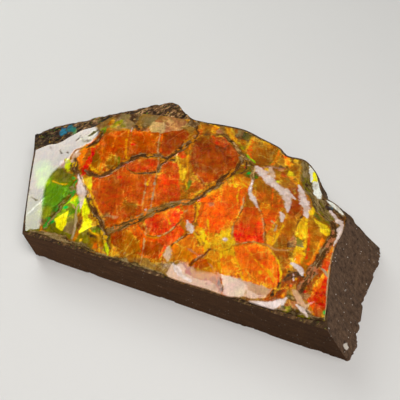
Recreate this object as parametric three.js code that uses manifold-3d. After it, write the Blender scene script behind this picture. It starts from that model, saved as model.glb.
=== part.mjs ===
// Ammolite specimen: a sawn piece of dark shale that carries one thin, crazed layer of iridescent
// fossil shell. Millimetres. +X runs along the sawn front face, +Y points to the back, +Z is up and
// the underside lies on z = 0.
import * as THREE from 'three';
import { mergeVertices } from 'three/addons/utils/BufferGeometryUtils.js';
import Module from 'manifold-3d';

const wasm = await Module();
wasm.setup();

// ---- Driving dimensions ----
const RIM_HEIGHT = 7.4; // top surface along its lowest edge
const RISE = 4.1; // how far the crest stands above that edge
const LEFT_ROLL = 20; // how far in from each edge the top starts to fall away
const FRONT_ROLL = 16;
const BACK_ROLL = 15;
const LEFT_FALL = 1; // share of the rise that is lost at each edge
const FRONT_FALL = 0.72;
const FRONT_FALL_SLOPE = 0.0055; // the front falls less towards +X
const BACK_FALL = 0.45;
const LAYER = 1.2; // thickness of the fossil layer
const BOND = 0.3; // gap between the layer and the stone around it
const FRONT = -28.1; // plane of the sawn front face
const OPEN_MARGIN = 6; // how far the layer's bed runs out past an edge that it is flush with
const ABOVE = 20; // a level clear above everything, for cutting tools
const BELOW = -2; // and one clear below

// Grid cells along the front (u) and from front to back (v)
const BLOCK_CELLS = [54, 20];
const LAYER_CELLS = [44, 26];
const BED_STEP = 5; // spacing of the bed's own, coarser grid
const BED_REACH = [60, 40];

// Relief of the broken stone
const CRUST_RELIEF = 0.45;
const RIM_CHIP = 0.45; // how far the stone beside the layer's front edge lies below it
const RIM_WIDTH = 1.8;
const HUMP = { at: [-20, 24.5], reach: [6.5, 3], height: 1.0 };
// Bedding on the broken back and left end: share of the way down to the underside, and how far it juts out
const LEDGES = [[0.12, 0.1], [0.27, 0.75], [0.4, -0.5], [0.58, 0.6], [0.7, -0.3], [0.88, 0.5], [1, 0]];
const END_LEAN = 0.8; // how far the right end runs outwards for each millimetre down
const LEAN_RAMP = 6; // how fast it reaches that lean from either corner

// ---- Outlines, as [x, y] from left to right or from front to back ----
const TOP_EDGE = {
  front: [[-36.1, FRONT], [43, FRONT]],
  right: [[43, FRONT], [41.3, -23.3], [39.5, -16], [38.3, -10], [37.8, -5], [38, 0], [37.6, 5.4]],
  back: [
    [-50.4, 4], [-45, 8.6], [-40, 11.8], [-36, 15], [-31.8, 18.4], [-27.2, 22.2], [-22.4, 25.4],
    [-18.9, 27.9], [-15.6, 25.4], [-12.3, 23.6], [-8.5, 24.2], [-3, 25.2], [2.7, 25.6], [8, 24.3],
    [13.6, 22.8], [16.5, 20.8], [21.3, 20.9], [25.2, 18], [27.3, 15], [28.9, 12], [30.8, 9.9],
    [34, 8.6], [37.6, 5.4],
  ],
  left: [[-36.1, FRONT], [-38.6, -22.7], [-41.3, -16.5], [-44.6, -9], [-47.4, -2.2], [-50.4, 4]],
};
const BOTTOM_EDGE = {
  front: [[-33.3, FRONT], [48.9, FRONT]],
  right: [[48.9, FRONT], [49.9, -25.4], [48.7, -18], [47.5, -9.3], [47.7, -2], [47.7, 4], [46.6, 7.6]],
  back: [
    [-48, 2], [-46.6, 6.2], [-41, 12.4], [-34, 18.4], [-26, 23.8], [-19, 27], [-12, 26.3],
    [-5, 25.7], [5, 25.8], [14, 24.8], [22, 22.4], [28, 18.6], [34, 14], [41, 11], [46.6, 7.6],
  ],
  left: [[-33.3, FRONT], [-38.6, -16.5], [-43.6, -6], [-48, 2]],
};
const LAYER_EDGE = {
  front: [
    [-35.7, -27.2], [-33, -26.4], [-29, -26.1], [-25, -26.6], [-21.5, -26.1], [-16.5, -27],
    [-11, -26.3], [-5, -26.8], [0, -26.2], [5, -27], [9, -27.3], [13, -26.9], [18, -27.2],
    [21.5, -26], [25, -26.4], [29, -26.9], [33, -26.1], [37, -26.3], [41.6, -26.1],
  ],
  right: [[41.6, -26.1], [40.9, -23.3], [39.1, -16], [37.9, -10], [37.4, -5], [37.6, 0], [37.1, 5.2]],
  back: [
    [-47.1, -1.4], [-44.3, 0.7], [-41.8, 1.6], [-39.8, 4.4], [-37.6, 8], [-35.2, 10.2],
    [-33.8, 13.8], [-31.4, 17.6], [-28, 18.9], [-24, 20.3], [-19, 21.2], [-15, 22], [-12, 23.1],
    [-8.5, 23.8], [-3, 24.8], [2.7, 25.2], [8, 23.9], [13.4, 22.4], [16.4, 20.4], [21.1, 20.5],
    [24.9, 17.7], [26.9, 14.7], [28.5, 11.7], [30.4, 9.5], [34, 8.1], [37.1, 5.2],
  ],
  left: [[-35.7, -27.2], [-38.3, -22.3], [-42.4, -13], [-47.1, -1.4]],
};

// ---- Healed cracks in the layer: width, depth and [x, y] points ----
const CRACKS = [
  {
    width: 1.3, depth: 0.5, points: [
      [-16, -22.5], [-12.3, -19], [-9, -15.3], [-6, -10.2], [-2.7, -7], [0, -5.7], [1.3, -2.7],
      [3.3, 1], [5, 5], [6.3, 10.3], [6.6, 13], [5.3, 16],
    ],
  },
  {
    width: 1.2, depth: 0.5, points: [
      [-33.8, -4.3], [-30.8, -7.6], [-25.3, -13], [-20.7, -18], [-17.3, -21], [-13.3, -26],
    ],
  },
  {
    width: 1, depth: 0.4, points: [
      [-29, -6], [-26, -6.7], [-23.3, -4.3], [-21.2, 0.7], [-18.7, 4], [-14, 6], [-7.3, 5.7],
    ],
  },
  {
    width: 1, depth: 0.4, points: [
      [-12, 0.7], [-11.8, 4.7], [-10, 9.7], [-9, 14], [-7.7, 16.3], [-9.3, 21.7],
    ],
  },
  {
    width: 1.1, depth: 0.45, points: [
      [-2, 21], [2, 19], [5.3, 16], [10, 13], [11, 9.3], [11.7, 6.7], [12.7, 2.3], [15.6, -0.6],
    ],
  },
  {
    width: 2, depth: 0.5, points: [
      [22.3, 18.7], [24.3, 13], [27.3, 9], [31.5, 3.6], [36, -0.5], [35.3, -7], [34.6, -15], [33.7, -21.7],
    ],
  },
  {
    width: 0.9, depth: 0.4, points: [
      [4.3, -14], [10.2, -17.7], [15, -14.7], [20, -11.3], [24.3, -11.8], [28, -10.7], [29.7, -8.3],
    ],
  },
  { width: 0.8, depth: 0.35, points: [[10.2, -17.7], [8.3, -21], [7.3, -23]] },
  { width: 0.8, depth: 0.35, points: [[0, -12.3], [-1.3, -17], [-5.3, -19.3]] },
  { width: 0.9, depth: 0.4, points: [[-28.7, -14.7], [-30.4, -18.5], [-31.7, -24.7]] },
  { width: 0.7, depth: 0.35, points: [[16.3, -1], [19, -5], [21.7, -11.3]] },
  { width: 1.7, depth: 0.3, points: [[11.5, 11.6], [16.7, 8.5], [21.5, 5], [23.2, 0.8]] },
  { width: 1.4, depth: 0.3, points: [[22.9, 10.6], [26.2, 5.4], [28.6, 1.4]] },
];
const CRACK_STEP = 2.6; // spacing of a crack's sections
const CRACK_LIFT = 0.6; // how far its cutting wedge stands out of the surface

// ---- The top surface ----

// What is lost at a distance in from an edge: the whole at the edge, nothing past the roll's width.
function fall(distance, roll) {
  return Math.max(0, 1 - Math.max(distance, 0) / roll) ** 2;
}

// Distance of a point to the right of the line that runs from a to b.
function rightOf(x, y, [ax, ay], [bx, by]) {
  return ((x - ax) * (by - ay) - (y - ay) * (bx - ax)) / Math.hypot(bx - ax, by - ay);
}

// Height of the smooth dome: the rim plus the rise, which falls away towards three edges.
function dome(x, y) {
  const [leftFront, leftBack] = [TOP_EDGE.left[0], TOP_EDGE.left.at(-1)];
  const peak = [-19, 28];
  const backRight = [37, 9];
  const left = rightOf(x, y, leftFront, leftBack);
  const back = Math.min(rightOf(x, y, leftBack, peak), rightOf(x, y, peak, backRight));
  const frontShare = FRONT_FALL - FRONT_FALL_SLOPE * x;
  return RIM_HEIGHT + RISE * (1 - LEFT_FALL * fall(left, LEFT_ROLL))
    * (1 - frontShare * fall(y - FRONT, FRONT_ROLL)) * (1 - BACK_FALL * fall(back, BACK_ROLL));
}

// Relief of broken stone between -1 and 1: three crossed waves of unlike lengths.
function broken(a, b) {
  return (Math.sin(1.9 * a + 0.7 * b) + Math.sin(2.7 * b - 1.1 * a + 1.3)
    + Math.sin(0.8 * a - 1.7 * b + 2.9)) / 3;
}

// Height of the stone where it lies bare beside the layer.
function crust(x, y) {
  const hump = Math.exp(-(((x - HUMP.at[0]) / HUMP.reach[0]) ** 2) - ((y - HUMP.at[1]) / HUMP.reach[1]) ** 2);
  const rim = Math.max(0, 1 - (y - FRONT) / RIM_WIDTH);
  return dome(x, y) + CRUST_RELIEF * broken(x, y) + HUMP.height * hump - RIM_CHIP * Math.min(1, 2 * rim);
}

// ---- Grids and closed shells ----

// A side of an outline, as evenly spaced points on a smooth curve through its own points.
function spaced(points, cells) {
  return new THREE.SplineCurve(points.map(([x, y]) => new THREE.Vector2(x, y))).getSpacedPoints(cells);
}

// A grid of plan points that fills the outline between its four sides (a Coons patch).
function planGrid(edge, [cellsU, cellsV]) {
  const front = spaced(edge.front, cellsU);
  const back = spaced(edge.back, cellsU);
  const left = spaced(edge.left, cellsV);
  const right = spaced(edge.right, cellsV);
  const corner = (u, v) => (v ? back : front)[u ? cellsU : 0];
  const blend = (i, j) => {
    const u = i / cellsU;
    const v = j / cellsV;
    const point = front[i].clone().multiplyScalar(1 - v).addScaledVector(back[i], v);
    point.addScaledVector(left[j], 1 - u).addScaledVector(right[j], u);
    point.addScaledVector(corner(0, 0), -(1 - u) * (1 - v)).addScaledVector(corner(1, 0), -u * (1 - v));
    return point.addScaledVector(corner(0, 1), -(1 - u) * v).addScaledVector(corner(1, 1), -u * v);
  };
  return Array.from({ length: cellsV + 1 }, (_, j) => Array.from({ length: cellsU + 1 }, (_, i) => blend(i, j)));
}

// A plan grid raised to a height that depends on the place.
function raised(grid, height) {
  return grid.map((row) => row.map((p) => new THREE.Vector3(p.x, p.y, height(p.x, p.y))));
}

// The border of a grid, once round, anticlockwise as seen from above.
function border(grid) {
  const last = grid[0].length - 1;
  const middle = grid.slice(1, -1);
  return [...grid[0], ...middle.map((row) => row[last]), ...grid.at(-1).toReversed(),
    ...middle.map((row) => row[0]).reverse()];
}

// The outward direction, in plan, at a point of an anticlockwise loop.
function outwardAt(loop, i) {
  const before = loop.at(i - 1);
  const after = loop[(i + 1) % loop.length];
  return new THREE.Vector2(after.y - before.y, before.x - after.x).normalize();
}

// A closed shell: a grid on top, rings of points down the wall and a flat bottom on the last ring.
function shell(top, rings) {
  const corners = [];
  const quad = (a, b, c, d) => corners.push(a, b, c, a, c, d);
  for (let j = 0; j + 1 < top.length; j += 1) {
    for (let i = 0; i + 1 < top[j].length; i += 1) {
      quad(top[j][i], top[j][i + 1], top[j + 1][i + 1], top[j + 1][i]);
    }
  }
  [border(top), ...rings].forEach((upper, k, all) => {
    const lower = all[k + 1];
    if (!lower) return;
    upper.forEach((_, i) => {
      const next = (i + 1) % upper.length;
      quad(lower[i], lower[next], upper[next], upper[i]);
    });
  });
  const base = rings.at(-1);
  const plan = base.map((p) => new THREE.Vector2(p.x, p.y));
  for (const [a, b, c] of THREE.ShapeUtils.triangulateShape(plan, [])) {
    corners.push(base[a], base[c], base[b]);
  }
  return new THREE.BufferGeometry().setFromPoints(corners);
}

// A closed geometry as a solid that can be joined and cut.
function solid(geometry) {
  const bare = geometry.deleteAttribute('normal').deleteAttribute('uv');
  const merged = mergeVertices(bare);
  return new wasm.Manifold(new wasm.Mesh({
    numProp: 3,
    vertProperties: merged.attributes.position.array,
    triVerts: new Uint32Array(merged.index.array),
  }));
}

// A solid with the grid on top, straight walls and a flat bottom at the given level.
function column(top, level) {
  return solid(shell(top, [border(top).map((p) => new THREE.Vector3(p.x, p.y, level))]));
}

// A solid as a geometry with flat faces.
function faceted(body) {
  const { vertProperties, triVerts } = body.getMesh();
  const geometry = new THREE.BufferGeometry();
  geometry.setAttribute('position', new THREE.BufferAttribute(vertProperties, 3));
  geometry.setIndex(new THREE.BufferAttribute(triVerts, 1));
  const flat = geometry.toNonIndexed();
  flat.computeVertexNormals();
  return flat;
}

// ---- The bed that the layer lies on ----

// Everything below the dome lowered by the given depth, wider than the whole piece.
function bed(depth) {
  const [reachX, reachY] = BED_REACH;
  const counts = [(2 * reachX) / BED_STEP, (2 * reachY) / BED_STEP];
  const grid = Array.from({ length: counts[1] + 1 }, (_, j) => Array.from({ length: counts[0] + 1 },
    (_, i) => new THREE.Vector2(i * BED_STEP - reachX, j * BED_STEP - reachY)));
  return column(raised(grid, (x, y) => dome(x, y) - depth), BELOW);
}

// The layer's outline, grown by the bond gap, with its two flush ends run out past the stone.
function bedOutline() {
  const outline = border(planGrid(LAYER_EDGE, LAYER_CELLS));
  const [cellsU, cellsV] = LAYER_CELLS;
  const starts = [0, cellsU, cellsU + cellsV, 2 * cellsU + cellsV]; // front, right, back and left
  return outline.flatMap((point, i) => {
    const corner = starts.indexOf(i);
    const onRight = i >= starts[1] && i <= starts[2];
    const onLeft = i === 0 || i >= starts[3];
    const grown = point.clone().addScaledVector(outwardAt(outline, i), BOND * (corner < 0 ? 1 : 1.5));
    const runOut = grown.clone().setX(grown.x + OPEN_MARGIN * (onRight - onLeft));
    if (corner < 0) return [runOut];
    return corner % 2 ? [grown, runOut] : [runOut, grown];
  });
}

// ---- Pieces ----

// The stone's wall below its top border: rings that run down to the underside, with ledges at the back.
function wallRings(topBorder) {
  const bottomBorder = border(planGrid(BOTTOM_EDGE, BLOCK_CELLS));
  return LEDGES.map(([share, jut]) => topBorder.map((point, i) => {
    const foot = bottomBorder[i];
    const outward = outwardAt(topBorder, i);
    const sawn = i <= BLOCK_CELLS[0] + BLOCK_CELLS[1];
    const relief = sawn ? 0 : jut * (0.6 + 0.9 * broken(point.x * 0.7, share * 5));
    return new THREE.Vector3(
      THREE.MathUtils.lerp(point.x, foot.x, share) + outward.x * relief,
      THREE.MathUtils.lerp(point.y, foot.y, share) + outward.y * relief,
      THREE.MathUtils.lerp(point.z, 0, share),
    );
  }));
}

// The stone: a block with a crusted top, from which the layer's bed is cut.
function makeMatrix() {
  const top = raised(planGrid(TOP_EDGE, BLOCK_CELLS), crust);
  const block = solid(shell(top, wallRings(border(top))));
  const lid = new THREE.ExtrudeGeometry(new THREE.Shape(bedOutline()), { depth: ABOVE, bevelEnabled: false });
  return block.subtract(solid(lid).subtract(bed(LAYER + BOND)));
}

// A wedge along a crack: its edge runs below the surface at the crack's depth.
function crackWedge({ width, depth, points }) {
  const path = new THREE.SplineCurve(points.map(([x, y]) => new THREE.Vector2(x, y)));
  const steps = Math.max(2, Math.round(path.getLength() / CRACK_STEP));
  const half = (width / 2) * (1 + CRACK_LIFT / depth);
  const sections = path.getSpacedPoints(steps).map((p, i) => {
    const side = path.getTangentAt(i / steps).rotateAround(new THREE.Vector2(), Math.PI / 2);
    const at = (offset, lift) => new THREE.Vector3(
      p.x + side.x * offset,
      p.y + side.y * offset,
      dome(p.x, p.y) + lift,
    );
    return [at(-half, CRACK_LIFT), at(half, CRACK_LIFT), at(0, -depth)];
  });
  const corners = [];
  sections.slice(1).forEach((section, i) => {
    section.forEach((_, k) => {
      const next = (k + 1) % 3;
      corners.push(sections[i][k], section[k], section[next], sections[i][k], section[next], sections[i][next]);
    });
  });
  const [first, last] = [sections[0], sections.at(-1)];
  corners.push(first[0], first[1], first[2], last[0], last[2], last[1]);
  return solid(new THREE.BufferGeometry().setFromPoints(corners));
}

// The fossil layer: the dome's skin inside the layer's outline, with the healed cracks cut into it.
function makeLayer() {
  const top = raised(planGrid(LAYER_EDGE, LAYER_CELLS), dome);
  const [cellsU, cellsV] = LAYER_CELLS;
  const foot = border(top).map((p, i) => {
    const along = (i - cellsU) / cellsV; // 0 to 1 down the right end
    const lean = END_LEAN * THREE.MathUtils.clamp(LEAN_RAMP * Math.min(along, 1 - along), 0, 1);
    return new THREE.Vector3(p.x + lean * p.z, p.y, 0);
  });
  let layer = solid(shell(top, [foot])).subtract(bed(LAYER));
  for (const crack of CRACKS) layer = layer.subtract(crackWedge(crack));
  return layer;
}

function piece(name, body, finish) {
  const mesh = new THREE.Mesh(faceted(body), new THREE.MeshStandardMaterial(finish));
  mesh.name = name;
  return mesh;
}

const group = new THREE.Group();
group.add(piece('shale_matrix', makeMatrix(), { color: 0x544236, roughness: 0.78, metalness: 0 }));
group.add(piece('ammolite_layer', makeLayer(), { color: 0xc8560c, roughness: 0.22, metalness: 0 }));

export default group;
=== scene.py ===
"""Ammolite specimen, dressed: a sawn piece of dark shale under one thin, crazed, iridescent layer of shell.

Sizes and places are in millimetres in the part's own frame. +X runs along the sawn front face, +Y points
to the back, +Z is up and the underside lies on z = 0. Meshes are made in metres.
"""
import logging
import math
from dataclasses import dataclass
from enum import Enum
from typing import Sequence

import bpy
import numpy as np
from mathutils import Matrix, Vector


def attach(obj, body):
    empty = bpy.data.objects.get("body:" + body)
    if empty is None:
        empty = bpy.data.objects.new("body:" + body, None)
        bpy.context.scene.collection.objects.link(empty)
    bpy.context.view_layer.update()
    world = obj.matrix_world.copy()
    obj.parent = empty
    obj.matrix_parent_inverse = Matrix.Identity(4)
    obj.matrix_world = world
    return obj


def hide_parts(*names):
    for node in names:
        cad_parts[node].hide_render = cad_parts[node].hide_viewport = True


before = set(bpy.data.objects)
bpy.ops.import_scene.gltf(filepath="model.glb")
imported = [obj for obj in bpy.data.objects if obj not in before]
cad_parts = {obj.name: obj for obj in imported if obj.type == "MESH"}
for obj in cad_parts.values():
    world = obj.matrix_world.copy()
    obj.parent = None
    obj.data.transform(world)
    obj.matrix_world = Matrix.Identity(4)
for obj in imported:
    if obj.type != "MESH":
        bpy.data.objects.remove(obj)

Array = np.ndarray
Socket = bpy.types.NodeSocket
Point = tuple[float, float]
Place = tuple[float, float, float]
Line = tuple[Point, Point]

LOG = logging.getLogger("ammolite")
MM = 0.001
FRONT = -28.1  # plane of the sawn front face
LAYER = 1.2  # thickness of the shell layer
GROWTH = math.radians(-68)  # direction in which the shell grew, and its fine streaks run
ALONG = np.array([math.cos(GROWTH), math.sin(GROWTH)])
ACROSS = np.array([-ALONG[1], ALONG[0]])


# ---- Random fields and curves ----


def lattice(corner: Array, seed: int) -> Array:
    """Repeatable random value for each corner of a lattice: its whole numbers, mixed and masked.

    Args:
        corner: whole-numbered coordinates, two or three in the last axis.
        seed: picks one field out of many.

    Returns:
        Values from 0 to 1, one for each corner.
    """
    mixed = corner.astype(np.int64) @ np.array([374761393, 668265263, 1274126177])[: corner.shape[-1]]
    mixed = (mixed + seed * 974634777) & 0xFFFFFFFF
    for shift, factor in ((13, 1274126177), (16, 2246822519), (15, 3266489917)):
        mixed = ((mixed ^ (mixed >> shift)) * factor) & 0xFFFFFFFF
    return (mixed >> 8) / float(1 << 24)


def noise(place: Array, size: float, seed: int) -> Array:
    """Smooth random field: lattice values blended with the smooth step 3t^2 - 2t^3 along each axis.

    Args:
        place: coordinates, two or three in the last axis.
        size: spacing of the lattice.
        seed: picks one field out of many.

    Returns:
        Values from -1 to 1, one for each place.
    """
    scaled = place / size
    home = np.floor(scaled)
    part = scaled - home
    part = part * part * (3 - 2 * part)
    total = np.zeros(place.shape[:-1])
    for corner in np.ndindex(*(2,) * place.shape[-1]):
        weight = np.where(np.array(corner, bool), part, 1 - part).prod(axis=-1)
        total += weight * lattice(home + corner, seed)
    return 2 * total - 1


def rough(place: Array, size: float, seed: int, octaves: int = 4) -> Array:
    """Rough random field of about -1 to 1: noise, plus half as much at half the size, and so on."""
    return sum(noise(place, size / 2**k, seed + k) / 2**k for k in range(octaves)) / 1.4


def cells(plan: Array, size: float, seed: int) -> tuple[Array, Array]:
    """Random cells like crazing: each lattice square owns one random point, and a place joins the nearest.

    Args:
        plan: x and y in the last axis.
        size: mean width of a cell.
        seed: picks one pattern out of many.

    Returns:
        The distance across to the nearest wall, doubled, and the cell's own value from 0 to 1.
    """
    scaled = plan / size
    home = np.floor(scaled)
    first = np.full(plan.shape[:-1], 9.0)
    second, own = first.copy(), np.zeros_like(first)
    for step in np.ndindex(3, 3):
        square = home + step - 1
        point = square + np.stack([lattice(square, seed), lattice(square, seed + 1)], axis=-1)
        away = np.linalg.norm(scaled - point, axis=-1)
        nearer = away < first
        second = np.where(nearer, first, np.minimum(second, away))
        own = np.where(nearer, lattice(square, seed + 2), own)
        first = np.where(nearer, away, first)
    return (second - first) * size, own


def smooth(value: Array, low: float, high: float) -> Array:
    """Smooth step from 0 at low to 1 at high."""
    part = np.clip((value - low) / (high - low), 0, 1)
    return part * part * (3 - 2 * part)


def rows(flat: Sequence[float], width: int = 2) -> Array:
    """Numbers one after another as rows: of x and y, or of x, y and the width of a line there."""
    return np.reshape(np.array(flat, float), (-1, width))


def curve(points: Array, count: int) -> Array:
    """Evenly spaced points on a smooth curve through the given ones (Catmull-Rom, ends doubled).

    Args:
        points: rows with x and y first.
        count: number of equal steps along it.

    Returns:
        count + 1 rows, with the same columns.
    """
    ends = np.vstack([points[:1], points, points[-1:]])
    part = np.linspace(0, 1, 24, endpoint=False)[:, None]
    spans = []
    for a, b, c, d in zip(ends, ends[1:], ends[2:], ends[3:]):
        cubic = (2 * a - 5 * b + 4 * c - d) * part**2 + (3 * b - a - 3 * c + d) * part**3
        spans.append(b + 0.5 * ((c - a) * part + cubic))
    dense = np.vstack([*spans, points[-1:]])
    run = np.concatenate([[0], np.cumsum(np.linalg.norm(np.diff(dense[:, :2], axis=0), axis=1))])
    even = np.linspace(0, run[-1], count + 1)
    return np.stack([np.interp(even, run, column) for column in dense.T], axis=-1)


def stretch(points: Array, start: Point, stop: Point, count: int) -> Array:
    """Evenly spaced points on one part of a smooth curve.

    Args:
        points: the whole curve's points, as rows of x and y.
        start: the part starts where the curve is nearest to this place.
        stop: it stops where the curve is nearest to this one, further on or back.
        count: number of equal steps along it.

    Returns:
        count + 1 rows of x and y.
    """
    dense = curve(points, 1200)
    first, last = (int(np.linalg.norm(dense - end, axis=1).argmin()) for end in (start, stop))
    step = 1 if last > first else -1
    chosen = dense[first : (last + step if last + step >= 0 else None) : step]
    return chosen[np.linspace(0, len(chosen) - 1, count + 1).round().astype(int)]


def near_line(plan: Array, path: Array, reach: float) -> tuple[Array, Array, Array, Array]:
    """Where places lie beside a path: for each one, the nearest of the path's straight steps.

    Args:
        plan: places as rows of x and y.
        path: points as rows of x, y and width.
        reach: places further away than this are left out.

    Returns:
        Indices of the places kept, the signed distance to the left of the path, the path's
        width there, and the share of the path's length, from 0 to 1.
    """
    low, high = path[:, :2].min(axis=0) - reach, path[:, :2].max(axis=0) + reach
    kept = np.flatnonzero(((plan > low) & (plan < high)).all(axis=1))
    start, run = path[:-1, :2], np.diff(path[:, :2], axis=0)
    offset = plan[kept, None] - start
    share = np.clip((offset * run).sum(-1) / (run**2).sum(-1), 0, 1)
    gap = np.linalg.norm(offset - share[..., None] * run, axis=-1)
    step = gap.argmin(axis=1)
    row = np.arange(len(kept))
    share = share[row, step]
    side = np.sign(run[step, 0] * offset[row, step, 1] - run[step, 1] * offset[row, step, 0])
    width = path[step, 2] + share * np.diff(path[:, 2])[step]
    return kept, side * gap[row, step], width, (step + share) / len(run)


def inside(plan: Array, outline: Array) -> Array:
    """Signed distance into a closed outline: positive inside, negative outside.

    Args:
        plan: places as rows of x and y.
        outline: corners as rows of x and y.

    Returns:
        One distance for each place.
    """
    ends = np.roll(outline, -1, axis=0)
    run = ends - outline
    offset = plan[:, None] - outline
    share = np.clip((offset * run).sum(-1) / (run**2).sum(-1), 0, 1)
    gap = np.linalg.norm(offset - share[..., None] * run, axis=-1).min(axis=1)
    spans = (outline[:, 1] > plan[:, None, 1]) != (ends[:, 1] > plan[:, None, 1])
    slope = run[:, 0] / np.where(run[:, 1] == 0, 1e-9, run[:, 1])
    crossed = spans & (offset[..., 0] < slope * offset[..., 1])
    return np.where(crossed.sum(axis=1) % 2 == 1, gap, -gap)


# ---- Closed surfaces ----


class Surface:
    """A closed surface put together from grids and rings of points. Rings run anticlockwise from above."""

    def __init__(self) -> None:
        """Starts with no points."""
        self.points: list[Array] = []
        self.faces: list[Array] = []
        self.count = 0

    def add(self, points: Array) -> Array:
        """Adds points.

        Args:
            points: x, y and z in the last axis.

        Returns:
            Their indices, in the same layout.
        """
        self.points.append(points.reshape(-1, 3))
        indices = self.count + np.arange(points[..., 0].size).reshape(points.shape[:-1])
        self.count += indices.size
        return indices

    def grid(self, rows: Array, up: bool = True) -> None:
        """Fills a grid of points with four-sided faces that face up or down."""
        corners = [rows[:-1, :-1], rows[:-1, 1:], rows[1:, 1:], rows[1:, :-1]]
        self.faces.append(np.stack(corners if up else corners[::-1], axis=-1).reshape(-1, 4))

    def band(self, inner: Array, outer: Array) -> None:
        """Joins two rings, one for one, or one for two where the other has twice or half the points.

        Args:
            inner: the ring further in or up.
            outer: the ring further out or down.
        """
        n, m = len(inner), len(outer)
        if n == m:
            self.faces.append(np.stack([outer, np.roll(outer, -1), np.roll(inner, -1), inner], axis=-1))
            return
        fine, coarse = (outer, inner) if m > n else (inner, outer)
        even, odd, after, follow = fine[::2], fine[1::2], np.roll(fine, -2)[::2], np.roll(coarse, -1)
        for corners in ((even, odd, coarse), (odd, follow, coarse), (odd, after, follow)):
            self.faces.append(np.stack(corners if m > n else corners[::-1], axis=-1))

    def fan(self, ring: Array, pole: int, up: bool) -> None:
        """Closes a ring with triangles to one pole, facing up or down."""
        ends = [ring, np.roll(ring, -1)][:: 1 if up else -1]
        self.faces.append(np.stack([*ends, np.full_like(ring, pole)], axis=-1))

    def place(self) -> Array:
        """All points so far, as rows of x, y and z."""
        return np.vstack(self.points)

    def piece(self, name: str, sharp: float) -> bpy.types.Object:
        """Makes the object, in metres.

        Args:
            name: its name.
            sharp: edges that turn by more than this angle, in degrees, stay sharp.

        Returns:
            The object, linked to the scene.
        """
        mesh = bpy.data.meshes.new(name)
        sizes = np.concatenate([np.full(len(f), f.shape[1]) for f in self.faces])
        loops = np.concatenate([f.ravel() for f in self.faces])
        mesh.vertices.add(self.count)
        mesh.vertices.foreach_set("co", (self.place() * MM).ravel())
        mesh.loops.add(len(loops))
        mesh.loops.foreach_set("vertex_index", loops.astype(np.int32))
        mesh.polygons.add(len(sizes))
        starts = np.concatenate([[0], np.cumsum(sizes)[:-1]])
        mesh.polygons.foreach_set("loop_start", starts.astype(np.int32))
        mesh.polygons.foreach_set("use_smooth", np.ones(len(sizes), bool))
        mesh.update(calc_edges=True)
        mesh.validate()
        mesh.set_sharp_from_angle(angle=math.radians(sharp))
        made = bpy.data.objects.new(name, mesh)
        bpy.context.scene.collection.objects.link(made)
        return made


def give(piece: bpy.types.Object, name: str, values: Array) -> None:
    """Stores one value or colour per vertex for the finish to read.

    Args:
        piece: the object.
        name: name of the attribute.
        values: one number or one linear colour for each vertex.
    """
    coloured = values.ndim == 2
    kind = "FLOAT_COLOR" if coloured else "FLOAT"
    layer = piece.data.attributes.new(name, kind, "POINT")
    if coloured:
        values = np.concatenate([values, np.ones((len(values), 1))], axis=1)
    layer.data.foreach_set("color" if coloured else "value", values.astype(np.float32).ravel())


# ---- Colours and markings of the shell ----


def linear(*colour: float) -> Array:
    """Linear light of a colour given as red, green and blue from 0 to 255, by the usual curve of a screen."""
    share = np.array(colour) / 255
    return np.where(share <= 0.04045, share / 12.92, ((share + 0.055) / 1.055) ** 2.4)


class Flash(Enum):
    """Colours that the shell flashes or carries, as red, green and blue from 0 to 255."""

    RUST = (138, 54, 1)
    BURNT = (163, 62, 2)
    COPPER = (186, 70, 2)
    ORANGE = (200, 78, 4)
    EMBER = (222, 66, 3)
    FLAME = (246, 50, 3)
    VIVID = (252, 90, 4)
    MANGO = (240, 96, 8)
    MELON = (236, 118, 10)
    AMBER = (205, 122, 10)
    BRONZE = (173, 95, 5)
    BRASS = (150, 78, 2)
    GOLD = (236, 176, 14)
    SUN = (250, 204, 18)
    YELLOW = (252, 240, 6)
    LEMON = (205, 215, 10)
    LIME = (150, 200, 5)
    MOSS = (142, 140, 14)
    GREEN = (92, 136, 2)
    EMERALD = (10, 160, 45)
    TEAL = (20, 125, 140)
    OLIVE = (112, 104, 8)
    PEAT = (84, 76, 14)
    RED = (214, 38, 4)
    TAN = (206, 164, 102)
    KHAKI = (136, 114, 66)
    STRAW = (160, 136, 94)
    SALMON = (190, 114, 72)
    GREIGE = (176, 150, 112)
    ROSE = (204, 156, 118)
    BLUSH = (212, 176, 144)
    # MILK and SNOW also tint the ledges, where they are partly painted reflection.
    MILK = (222, 200, 190)
    SNOW = (232, 233, 222)
    OCHRE = (142, 98, 36)
    BROWN = (104, 62, 26)
    UMBER = (62, 44, 26)

    @property
    def linear(self) -> Array:
        """The colour as linear light."""
        return linear(*self.value)


F = Flash


@dataclass(frozen=True)
class Plate:
    """One patch of shell that flashes its own colour, from near at one side to far at the other."""

    outline: Sequence[float]  # x and y of each corner
    near: Flash
    far: Flash
    toward: float = 0.0  # direction from near to far, in degrees from +X
    worn: float = 0.0  # how far its polish is worn off


@dataclass(frozen=True)
class Vein:
    """A healed crack filled with mineral and shards of shell."""

    points: Sequence[float]  # x, y and width of each point of its middle
    stone: Flash = F.BROWN
    fleck: Flash = F.AMBER
    shards: float = 0.22  # share of it that is shell

    def path(self) -> Array:
        """Its middle, smooth and evenly spaced."""
        return curve(rows(self.points, 3), 90)


@dataclass(frozen=True)
class CrackLine:
    """A fine crack inside a plate, which shows as a thin coloured line."""

    colour: Flash
    width: float
    points: Sequence[float]  # x and y of each point
    open: bool = False  # open, so that it breaks the polish

    def path(self) -> Array:
        """The line as rows of x, y and width, tapered at both ends by a sine bow."""
        bow = 0.45 + 0.55 * np.sin(np.pi * np.linspace(0, 1, 41)) ** 0.5
        return np.column_stack([curve(rows(self.points), 40), self.width * bow])


@dataclass(frozen=True)
class Ledge:
    """A glossy step between two plates. Its pale tint is partly the shell's own milky colour and partly a
    painted reflection of the light on the step. Its high side is on the left of its run.
    """

    points: Sequence[float]  # x, y and width of each point of its middle
    rise: float = 0.2
    tint: Flash = F.MILK

    def path(self) -> Array:
        """Its middle, smooth and evenly spaced."""
        return curve(rows(self.points, 3), 60)


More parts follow.
